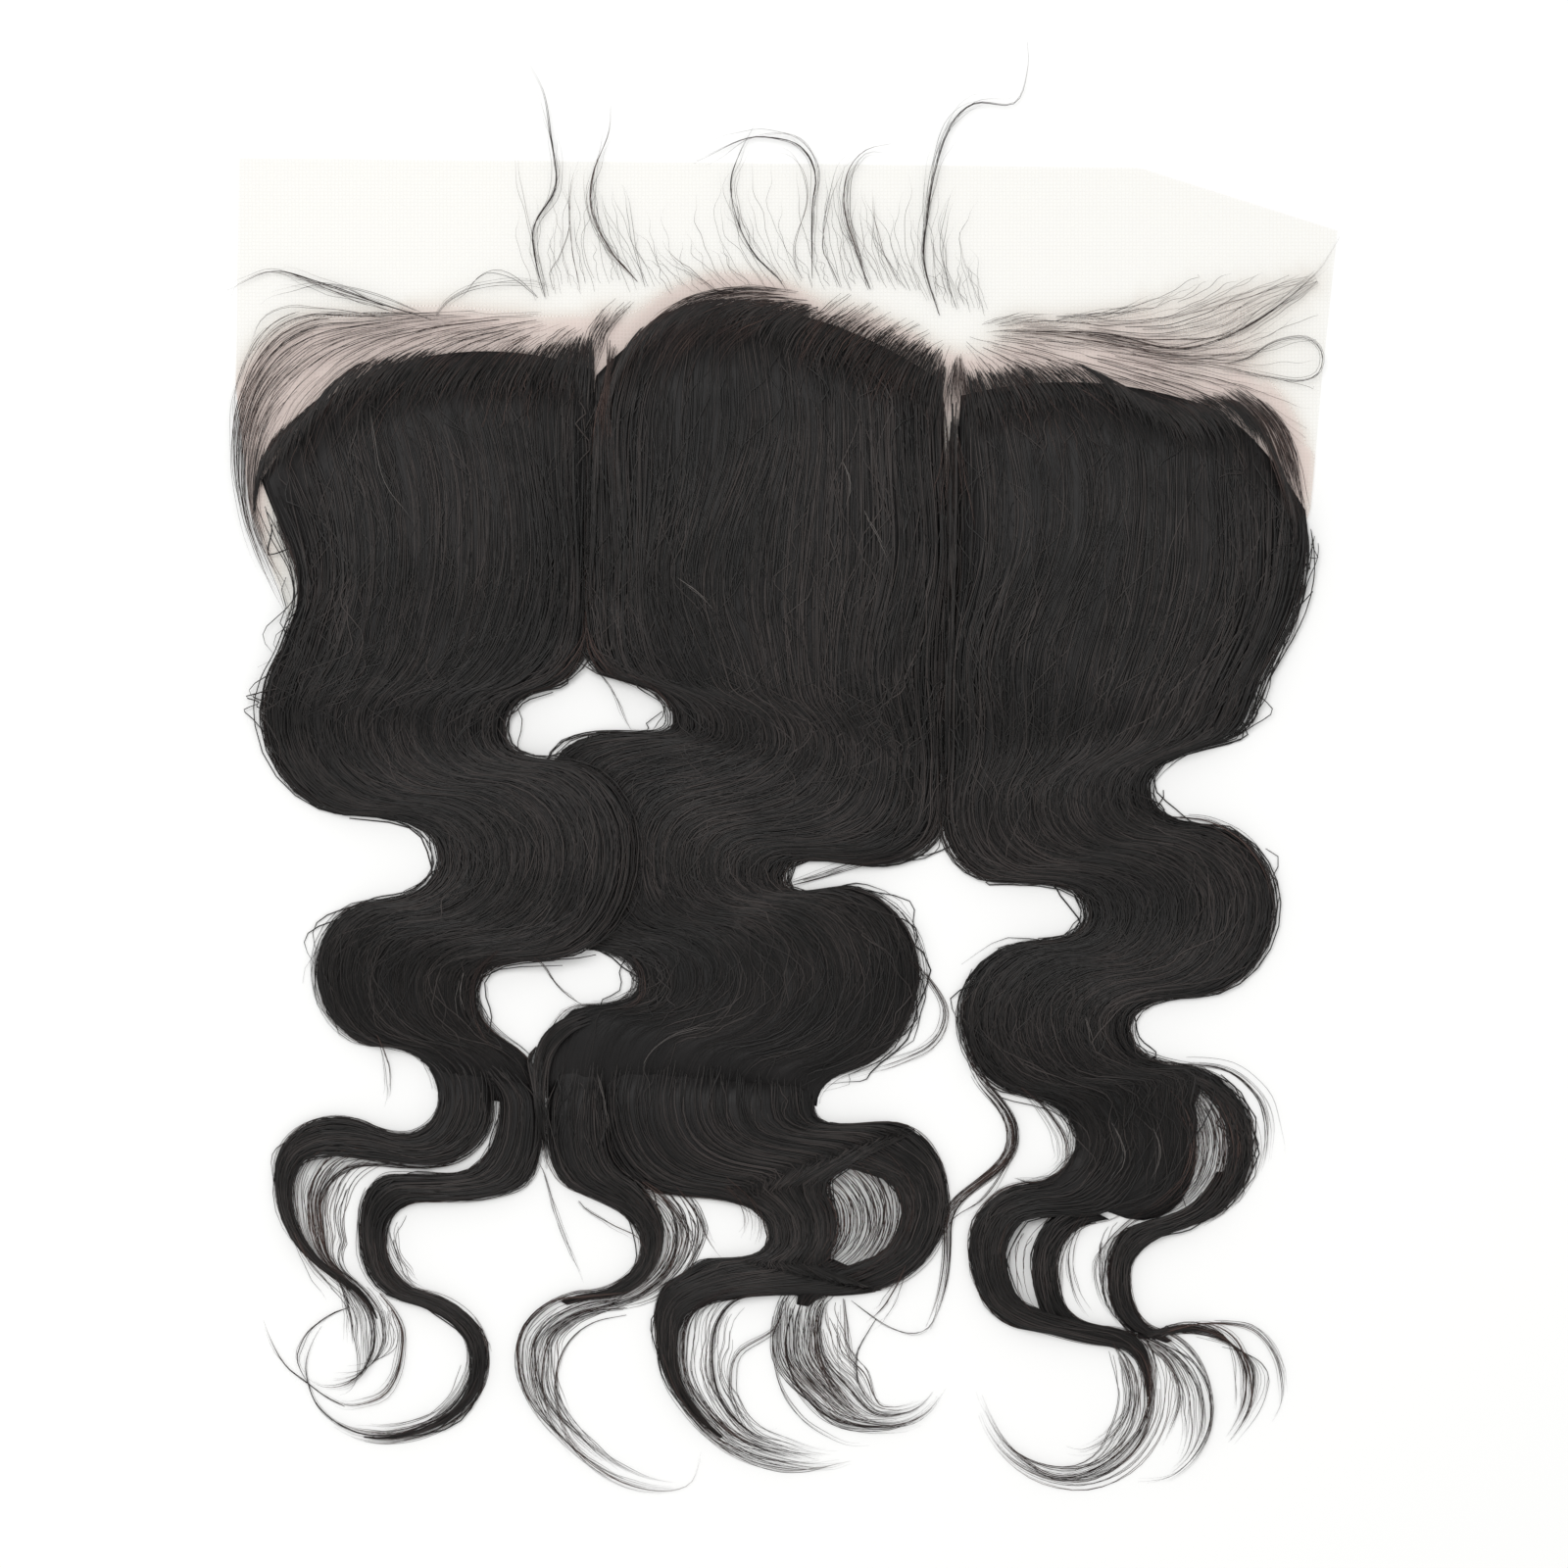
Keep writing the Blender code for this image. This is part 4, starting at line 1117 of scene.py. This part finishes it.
# %% The baby hair along the hairline
LEFT_DENSE_EDGE = (
    (606, 362, 0), (592, 356, -20), (575, 358, -35), (535, 364, -42), (492, 368, -46),
    (454, 371, -50), (423, 366, -55), (388, 372, -55), (356, 380, -50), (339, 395, -45),
    (319, 416, -42), (298, 434, -38), (277, 452, -30), (264, 478, -10),
)
CENTRE_DENSE_EDGE = (
    (622, 400, -8), (633, 368, -22), (648, 346, -38), (668, 328, -52), (700, 314, -66),
    (737, 308, -80), (777, 309, -82), (804, 314, -74), (826, 322, -62), (858, 334, -52),
    (898, 345, -46), (925, 358, -42), (950, 368, -30), (964, 384, -10),
)
RIGHT_DENSE_EDGE = (
    (984, 396, 8), (1002, 392, 24), (1030, 385, 40), (1052, 381, 50), (1108, 376, 62),
    (1136, 389, 60), (1159, 405, 55), (1192, 419, 55), (1220, 415, 60), (1249, 409, 60),
    (1271, 417, 50), (1287, 441, 40), (1304, 474, 25), (1314, 502, 14),
)
EDGE_FRINGE = (240, 0.14, 0.3, (0, 0.3), (0.4, 0.7), 0.4, 0.6, 0.7)


def edge_guides(edge, outside, inside):
    """Short guides that cross a dense edge, from places on it and headings there."""
    guides = []
    for x, y, way in edge:
        way, bend = np.radians(way), np.radians(0.35 * way)
        spot, ahead = np.array((x, y)), np.array((np.sin(way), np.cos(way)))
        falling = np.array((np.sin(bend), np.cos(bend)))
        middle = spot + inside / 2 * (0.6 * ahead + 0.4 * falling)
        guides.append((spot - outside * ahead, spot, middle, middle + inside / 2 * falling))
    return tuple(guides)


HAIRLINE = {
    "hairline_left": (
        *(Comb((((592, 316), (520, 315), (440, 317), (360, 318), (300, 318), (262, 345), (240, 400),
               (236, 460)),
              ((590, 319), (500, 325), (420, 335), (355, 352), (305, 385), (272, 430), (258, 490)),
              ((590, 322), (520, 333), (455, 350), (405, 380), (365, 420), (340, 470)),
              ((592, 325), (545, 338), (505, 358), (475, 392), (458, 435)),
              ((596, 327), (572, 342), (552, 365), (540, 400), (535, 440)),
              ((602, 328), (594, 345), (588, 370), (586, 405))),
              *layer) for layer in ((300, 0.10, 0.3, (0.06, 0.8), (0.2, 0.42), 1.0, 0.8, 0.6),
                                    (34, 0.20, 0.3, (0.06, 0.6), (0.3, 0.5), 0.8, 0.8, 0.6))),
        Comb(edge_guides(LEFT_DENSE_EDGE, 18, 30), *EDGE_FRINGE),
        Comb((((340, 318), (280, 345), (245, 400), (236, 450), (240, 500), (256, 560), (285, 610)),
              ((330, 340), (275, 390), (252, 450), (252, 520), (272, 580), (300, 640)),
              ((320, 390), (275, 440), (262, 500), (272, 560), (298, 610), (304, 660))),
             50, 0.14, 0.5, (0, 0.4), (0.4, 0.7)),
        Comb((((445, 322), (460, 305), (490, 292), (540, 290), (575, 300)),), 5, 0.10, 0.8),
        Comb((((650, 308), (632, 326), (618, 350), (606, 390)),
              ((625, 304), (610, 322), (598, 345), (592, 380))),
             40, 0.12, 0.4, (0, 0.4), (0.4, 0.8), 0.8),
    ),
    "hairline_centre": (
        Comb((((812, 296), (760, 292), (705, 302), (665, 330), (640, 370), (628, 415)),
              ((820, 302), (760, 300), (712, 312), (678, 338), (656, 372), (644, 415)),
              ((832, 312), (780, 312), (735, 322), (700, 345), (680, 380), (670, 420)),
              ((845, 322), (810, 326), (775, 340), (750, 365), (738, 400))),
             200, 0.13, 0.2, (0, 0.55), (0.25, 0.5), 0.6, 0.8),
        Comb(edge_guides(CENTRE_DENSE_EDGE, 18, 30), *EDGE_FRINGE),
        Comb((((862, 296), (842, 312), (824, 332), (808, 365), (800, 400)),
              ((905, 315), (882, 331), (860, 352), (842, 385), (835, 420)),
              ((942, 332), (918, 347), (893, 367), (874, 400), (866, 440)),
              ((968, 346), (948, 357), (926, 378), (910, 412), (902, 450))),
             110, 0.13, 0.2, (0, 0.4), (0.25, 0.6), 0.6),
    ),
    "hairline_right": (
        *(Comb((((985, 333), (1060, 322), (1130, 316), (1178, 302), (1210, 280)),
              ((985, 335), (1080, 330), (1170, 336), (1235, 325), (1290, 300), (1341, 281)),
              ((985, 338), (1080, 342), (1180, 356), (1250, 352), (1300, 325), (1345, 290)),
              ((985, 341), (1080, 350), (1180, 368), (1260, 382), (1340, 398)),
              ((985, 344), (1070, 360), (1150, 382), (1220, 405), (1290, 440), (1325, 490)),
              ((984, 346), (1040, 364), (1095, 388), (1140, 420), (1170, 465)),
              ((983, 348), (1018, 366), (1048, 392), (1070, 430), (1080, 470)),
              ((981, 349), (1002, 370), (1018, 400), (1028, 440))),
              *layer) for layer in ((180, 0.10, 0.3, (0.05, 0.8), (0.2, 0.4), 1.0, 0.8, 0.6),
                                    (36, 0.20, 0.3, (0.06, 0.5), (0.3, 0.5), 0.8, 0.8, 0.6))),
        Comb(edge_guides(RIGHT_DENSE_EDGE, 18, 30), *EDGE_FRINGE),
        Comb((((1250, 372), (1274, 366), (1300, 350), (1330, 345), (1347, 358), (1345, 380),
               (1325, 388), (1290, 382), (1230, 370)),), 4, 0.14, 0.5),
        Comb((((1270, 395), (1300, 420), (1322, 460), (1335, 520)),
              ((1240, 395), (1280, 430), (1300, 480), (1318, 540))),
             80, 0.16, 0.4, (0, 0.3), (0.5, 0.9)),
    ),
    "parting_whorl": (
        Comb((((976, 337), (1000, 330), (1040, 318), (1080, 312)),
              ((976, 337), (1005, 338), (1050, 335), (1110, 338)),
              ((978, 340), (1005, 350), (1050, 362), (1110, 385)),
              ((978, 342), (995, 362), (1025, 395), (1060, 440)),
              ((977, 344), (985, 370), (995, 410), (1000, 460)),
              ((975, 344), (972, 370), (968, 410), (966, 460)),
              ((973, 342), (958, 362), (945, 395), (940, 450)),
              ((971, 338), (950, 345), (925, 362), (900, 400))),
             110, 0.11, 0.2, (0.06, 0.6), (0.25, 0.5), 0.5, 0.8, 0.6),
        Comb((((976, 362), (966, 392), (958, 430)), ((980, 362), (986, 392), (996, 430))),
             45, 0.12, 0.4, (0, 0.3), (0.4, 0.8), 0.5),
        Comb((((970, 425), (962, 460), (952, 520), (948, 580)),
              ((974, 425), (980, 460), (992, 520), (1000, 580))),
             40, 0.12, 0.8, (0, 0.3), (0.3, 0.5), 0.5),
        Comb((((636, 345), (622, 380), (606, 430), (598, 490)),
              ((618, 345), (620, 380), (624, 430), (630, 490))),
             50, 0.15, 0.6, (0, 0.3), (0.4, 0.8), 0.6),
    ),
}
for name, combs in HAIRLINE.items():
    comb_piece(name, combs, fine_hair)

# %% [markdown]
# ## Dark hair over the edges
# A section's edge is where the tied hair starts to lie close, and the partings and the waist
# between two sections are where hair of both sides meets. The dense mass alone would end there
# in a cut line. Real hair crosses such a line, so dark strands are combed over it here.

# %% Dark hair over the edges, partings and waist
PARTING_STRANDS = (0.34, 0.3, (0, 0.6), (0.3, 0.5), 0.6)
DARK_COMBS = {
    name: (Comb(edge_guides(edge, 20, 60), 500, 0.26, 0.3, (0, 0.32), (0.5, 0.8), 0.4, 0.6, 0.6),)
    for name, edge in (("edge_left", LEFT_DENSE_EDGE), ("edge_centre", CENTRE_DENSE_EDGE),
                       ("edge_right", RIGHT_DENSE_EDGE))
}
DARK_COMBS["parting_strands"] = (
    Comb((((970, 410), (968, 520), (966, 640), (962, 760), (958, 850)),
          ((978, 410), (976, 520), (972, 640), (968, 760), (962, 850))),
         60, *PARTING_STRANDS),
    Comb((((608, 390), (607, 460), (604, 540), (600, 620)),
          ((614, 390), (612, 460), (608, 540), (603, 620))),
         40, *PARTING_STRANDS),
)
DARK_COMBS["waist_strands"] = (
    Comb((((600, 1030), (572, 1042), (553, 1060), (545, 1090), (548, 1135), (556, 1195)),
          ((610, 1040), (585, 1052), (566, 1072), (558, 1100), (557, 1145), (560, 1200))),
         60, 0.34, 0.3, (0, 0.2), (0.6, 0.8), 0.4),
    Comb((((548, 1068), (540, 1080), (545, 1105), (552, 1135), (555, 1165), (556, 1190)),),
         24, 0.34, 1.0, (0, 0.2), (0.6, 0.8), 0.4),
)
for name, combs in DARK_COMBS.items():
    comb_piece(name, combs, lock_hair)

# %% [markdown]
# ## Loose curls and flyaways
# The tails end in open loops of a few hairs each, and single hairs leave the locks along the
# way. They give a wig its life, and there are too few of them to leave to chance, so each loop
# has its own guide.

# %% Loose curls and flyaways
LOOPS = {
    "loose_hair_left": (
        (12, 0.6, ((361, 1316), (375, 1330), (382, 1351), (382, 1373), (375, 1392), (364, 1405),
                   (348, 1413), (330, 1415), (316, 1409), (308, 1398))),
        (16, 0.8, ((386, 1319), (402, 1339), (411, 1360), (409, 1387), (402, 1409), (387, 1426),
                   (357, 1434), (336, 1426), (320, 1416))),
        (3, 0.5, ((352, 1436), (330, 1424), (311, 1410), (294, 1397), (279, 1376), (268, 1350),
                  (264, 1335))),
        (3, 0.5, ((357, 1334), (336, 1342), (316, 1357), (307, 1373), (304, 1387), (311, 1405),
                  (325, 1430))),
        (8, 0.6, ((493, 1391), (480, 1420), (460, 1440), (430, 1455), (400, 1464), (360, 1460),
                  (325, 1437), (312, 1405), (314, 1380), (330, 1350), (357, 1334))),
        (14, 1.6, ((343, 1300), (352, 1320), (358, 1345), (360, 1375))),
        (8, 1.4, ((300, 1255), (315, 1285), (335, 1310), (350, 1330))),
        (3, 0.6, ((595, 667), (610, 685), (625, 705), (640, 740), (655, 760))),
        (3, 0.6, ((545, 975), (555, 985), (570, 1008), (590, 1022), (610, 1030))),
        (4, 1.5, ((545, 1180), (555, 1200), (568, 1245), (590, 1300), (600, 1325))),
        (3, 0.9, ((590, 1225), (600, 1235), (625, 1250), (650, 1262), (665, 1285))),
        (6, 1.5, ((385, 1055), (392, 1072), (398, 1100), (396, 1130))),
    ),
    "loose_hair_centre": (
        (9, 0.8, ((640, 1318), (600, 1322), (566, 1326), (540, 1345), (527, 1372), (530, 1400),
                  (540, 1430), (560, 1460), (589, 1480))),
        (10, 1.2, ((640, 1325), (600, 1330), (565, 1345), (545, 1372), (545, 1405), (556, 1440),
                   (575, 1470), (600, 1495))),
        (7, 0.5, ((640, 1342), (605, 1350), (580, 1370), (568, 1400), (569, 1435), (586, 1477),
                  (627, 1510), (671, 1522), (704, 1515), (715, 1485), (718, 1468))),
        (12, 1.6, ((640, 1335), (600, 1340), (568, 1358), (555, 1385), (555, 1420), (570, 1460),
                   (600, 1495))),
        (9, 0.6, ((676, 1380), (688, 1415), (709, 1446), (733, 1468), (762, 1482), (803, 1494),
                  (841, 1499), (862, 1494), (884, 1480))),
        (16, 1.6, ((790, 1318), (752, 1326), (733, 1348), (727, 1377), (733, 1421), (753, 1450),
                   (780, 1468), (827, 1485), (850, 1488))),
        (10, 1.4, ((800, 1325), (790, 1356), (753, 1380), (745, 1412), (750, 1435), (768, 1465),
                   (803, 1467))),
        (20, 3.0, ((760, 1310), (725, 1325), (705, 1345), (698, 1380), (704, 1420), (725, 1450))),
        (4, 0.4, ((800, 1335), (788, 1369), (795, 1412), (815, 1444), (844, 1465), (874, 1475),
                  (912, 1471))),
        (14, 1.8, ((812, 1330), (803, 1360), (806, 1395), (825, 1428), (855, 1450), (895, 1456),
                   (929, 1453), (950, 1438), (965, 1412))),
        (26, 2.6, ((840, 1325), (832, 1355), (836, 1390), (850, 1420), (872, 1442), (905, 1450))),
        (5, 0.8, ((895, 1345), (888, 1356), (874, 1383), (877, 1412), (891, 1433), (905, 1442))),
        (10, 2.2, ((860, 1325), (862, 1350), (866, 1385), (880, 1415))),
        (3, 0.6, ((868, 1327), (900, 1350), (929, 1361), (950, 1353), (959, 1324), (965, 1280))),
        (14, 1.6, ((655, 1205), (680, 1225), (700, 1255), (708, 1285), (700, 1310))),
        (5, 0.8, ((690, 1210), (712, 1240), (722, 1265), (740, 1290))),
        (12, 3.0, ((740, 1200), (765, 1225), (775, 1250), (768, 1280))),
        (8, 3.0, ((925, 1290), (915, 1315), (900, 1340), (880, 1355))),
    ),
    "loose_hair_right": (
        (14, 0.9, ((1150, 1368), (1166, 1384), (1174, 1412), (1169, 1442), (1156, 1467), (1129, 1492),
                   (1099, 1505), (1074, 1505), (1052, 1494), (1027, 1472), (1010, 1444), (1000, 1419),
                   (1002, 1392))),
        (12, 1.4, ((1134, 1368), (1146, 1390), (1153, 1415), (1150, 1440), (1132, 1465),
                   (1104, 1480), (1079, 1474))),
        (9, 0.6, ((1175, 1365), (1214, 1387), (1231, 1412), (1236, 1439), (1229, 1469), (1209, 1496),
                  (1186, 1509), (1150, 1512))),
        (14, 1.8, ((1165, 1368), (1189, 1385), (1201, 1407), (1204, 1429), (1196, 1459),
                   (1184, 1484))),
        (9, 0.6, ((1176, 1362), (1214, 1352), (1238, 1352), (1261, 1367), (1273, 1395), (1277, 1424),
                  (1273, 1444), (1258, 1467), (1243, 1482))),
        (8, 1.2, ((1220, 1350), (1251, 1350), (1281, 1357), (1301, 1380), (1309, 1407), (1308, 1434),
                  (1293, 1462))),
        (16, 2.0, ((1040, 1108), (1065, 1130), (1085, 1160), (1087, 1186), (1073, 1200),
                   (1050, 1210))),
        (14, 1.6, ((1200, 1085), (1250, 1092), (1279, 1115), (1290, 1141), (1290, 1179),
                   (1279, 1212))),
        (10, 2.2, ((1190, 832), (1235, 838), (1270, 860), (1290, 890), (1300, 925))),
        (8, 1.2, ((1325, 620), (1316, 646), (1300, 668), (1284, 692))),
        (7, 0.6, ((983, 1050), (992, 1088), (1018, 1117), (1034, 1142), (1034, 1174), (1005, 1222),
                  (970, 1248), (964, 1292), (959, 1330))),
        (8, 2.0, ((1165, 1235), (1135, 1262), (1118, 1290), (1122, 1320), (1140, 1350))),
        (9, 2.5, ((1110, 1235), (1095, 1262), (1090, 1290), (1098, 1325), (1115, 1352))),
    ),
    "loose_hair_waist": (
        (12, 1.6, ((800, 905), (840, 895), (890, 880), (945, 868))),
        (14, 1.2, ((925, 975), (945, 995), (965, 1030), (955, 1062), (920, 1082), (860, 1100))),
        (12, 1.6, ((510, 968), (488, 990), (482, 1020), (492, 1055), (520, 1085))),
        (10, 1.2, ((600, 640), (592, 662), (575, 684), (548, 702))),
        (10, 1.2, ((600, 640), (608, 664), (628, 688), (655, 704))),
        (9, 1.2, ((640, 688), (668, 702), (684, 722), (682, 748))),
        (9, 1.2, ((645, 975), (655, 995), (650, 1020), (620, 1032))),
    ),
}
# Short pale strands where the hair catches the light: painted highlights.
GLINTS = (
    ((650, 1100), (664, 1075), (685, 1058), (712, 1050), (745, 1046)),
    ((608, 1090), (616, 1120), (622, 1150), (624, 1180)),
    ((378, 405), (384, 450), (392, 490), (412, 520), (432, 545)),
    ((690, 590), (712, 605), (735, 628)), ((1132, 1144), (1144, 1167), (1142, 1190), (1124, 1212)),
    ((1172, 1144), (1182, 1167), (1178, 1191), (1165, 1214)),
    ((858, 470), (866, 495), (860, 530)), ((880, 520), (900, 560), (915, 600)),
    ((1105, 1034), (1112, 1055), (1118, 1078)), ((474, 990), (470, 1015), (476, 1045)),
)
for name, loops in LOOPS.items():
    combs = [Comb((guide,), 1 + hairs // 8, 0.22, 0.2 * spread, (0, 0.02), (0.85, 0.95), 0.3)
             for hairs, spread, guide in loops]
    combs += [Comb((guide,), hairs // 2 + 1, 0.11, spread, (0, 0.15), (0.6, 0.85), 0.6)
              for hairs, spread, guide in loops]
    comb_piece(name, combs, fine_hair)
glints = [Comb((guide,), 3, 0.15, 0.5, (0, 0.2), (0.6, 0.8)) for guide in GLINTS]
comb_piece("glinting_strands", glints, painted_highlight_hair)

# %% [markdown]
# ## The lace
# Swiss lace is a fine hexagonal net, about 0.5 mm from thread to thread, in a cream tone that
# all but vanishes on white. The sheet is a grid that is cut to the frontal's outline, with a
# slight ripple, because net never lies quite flat. Its holes are in the material: net modelled
# thread by thread would take millions of triangles. The holes are drawn about twice as large
# as the real ones, or they would be finer than a pixel. Under the baby hair the knots tint it,
# so its UV map holds how closely the hairs of the hairline lie there.

# %% The lace
FRONT_EDGE = ((0.0, 0.0), (0.82, 0.02), (1.0, 0.146))
LEFT_EDGE = ((0.0, -0.500), (0.455, -0.503), (0.705, -0.490), (1.0, -0.440))
RIGHT_EDGE = ((0.0, 0.515), (0.146, 0.515), (0.455, 0.500), (0.705, 0.490), (1.0, 0.440))
NET_PITCH = 1.1 * MM
LACE_COLUMNS = 160
LACE_ROWS = 76
KNOT_CELL = 2 * MM
KNOT_BLUR = 14
FULL_KNOTS = 0.8

a, b = np.meshgrid(np.linspace(0, 1, LACE_COLUMNS), np.linspace(0, 1, LACE_ROWS))
front = np.interp(a, *zip(*FRONT_EDGE))
depth = front + (1 - front) * b
left = np.interp(depth, *zip(*LEFT_EDGE))
right = np.interp(depth, *zip(*RIGHT_EDGE))
lace_x = (left + (right - left) * a) * LACE_WIDTH
lace_y = (0.5 - depth) * LACE_DEPTH
ripple = (np.sin(lace_x / (17 * MM) + 0.6) * np.sin(lace_y / (23 * MM))
          + 0.5 * np.sin(lace_x / (7 * MM)) * np.sin(lace_y / (9 * MM) + 1))
lace_z = LACE_WALL * (0.5 + 0.28 * ripple)
corners = np.stack([lace_x, lace_y, lace_z], -1).reshape(-1, 3)

knots = empty_map(KNOT_CELL)
for name in HAIRLINE:
    np.add.at(knots, tuple(cell_of(comb_lines[name][:, :2], KNOT_CELL).T), 1)
for _ in range(KNOT_BLUR):
    knots = sum(np.roll(knots, step, axis) for axis in (0, 1) for step in (-1, 0, 1)) / 6
knots /= np.percentile(knots[knots > 0], 90)
knot_share = smooth(knots[tuple(cell_of(corners[:, :2], KNOT_CELL).T)] / FULL_KNOTS)
lace_uv = np.stack([knot_share, corners[:, 1]], -1)

swiss_lace, tree = new_material("swiss_lace_net")
spot = add_node(tree, "ShaderNodeTexCoord")
cells_of_net = add_node(tree, "ShaderNodeTexVoronoi", {
    "Vector": spot.outputs["Object"], "Scale": 1 / NET_PITCH, "Randomness": 0.25,
}, feature="DISTANCE_TO_EDGE", voronoi_dimensions="2D")
thread = add_node(tree, "ShaderNodeMapRange", {
    "Value": cells_of_net.outputs["Distance"], "From Min": 0.10, "From Max": 0.22,
    "To Min": 0.14, "To Max": 0.09,
})
knot_map = add_node(tree, "ShaderNodeUVMap", uv_map="strand_map")
knotted = add_node(tree, "ShaderNodeSeparateXYZ", {"Vector": knot_map.outputs["UV"]})
tint = add_node(tree, "ShaderNodeMix", {
    "Factor": knotted.outputs["X"], "A": hex_linear("#CDC7B2"), "B": hex_linear("#DCC6BC"),
}, data_type="RGBA")
cover = add_node(tree, "ShaderNodeMath", {
    0: knotted.outputs["X"], 1: 0.4, 2: thread.outputs["Result"],
}, operation="MULTIPLY_ADD")
cloth = add_node(tree, "ShaderNodeBsdfPrincipled", {
    "Base Color": tint.outputs["Result"], "Roughness": 0.85, "Alpha": cover.outputs["Value"],
})
finish_material(tree, cloth.outputs["BSDF"])
lace = mesh_piece("lace_sheet", corners, grid_quads(LACE_ROWS, LACE_COLUMNS), lace_uv, swiss_lace)
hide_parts("lace_base")
falling = corners.reshape(LACE_ROWS, LACE_COLUMNS, 3)[..., :2]
falling, rising = falling[1:, 1:] - falling[:-1, :-1], falling[1:, :-1] - falling[:-1, 1:]
lace_area = float(np.abs(np.cross(falling, rising)).sum() / 2)
print(f"lace area {lace_area:.4f} square metres")

# %% [markdown]
# The hair may stand a little proud of the solids, but not by much. The two boxes are written
# down so that they can be compared.

print("triangles in all:", sum(triangle_count.values()))
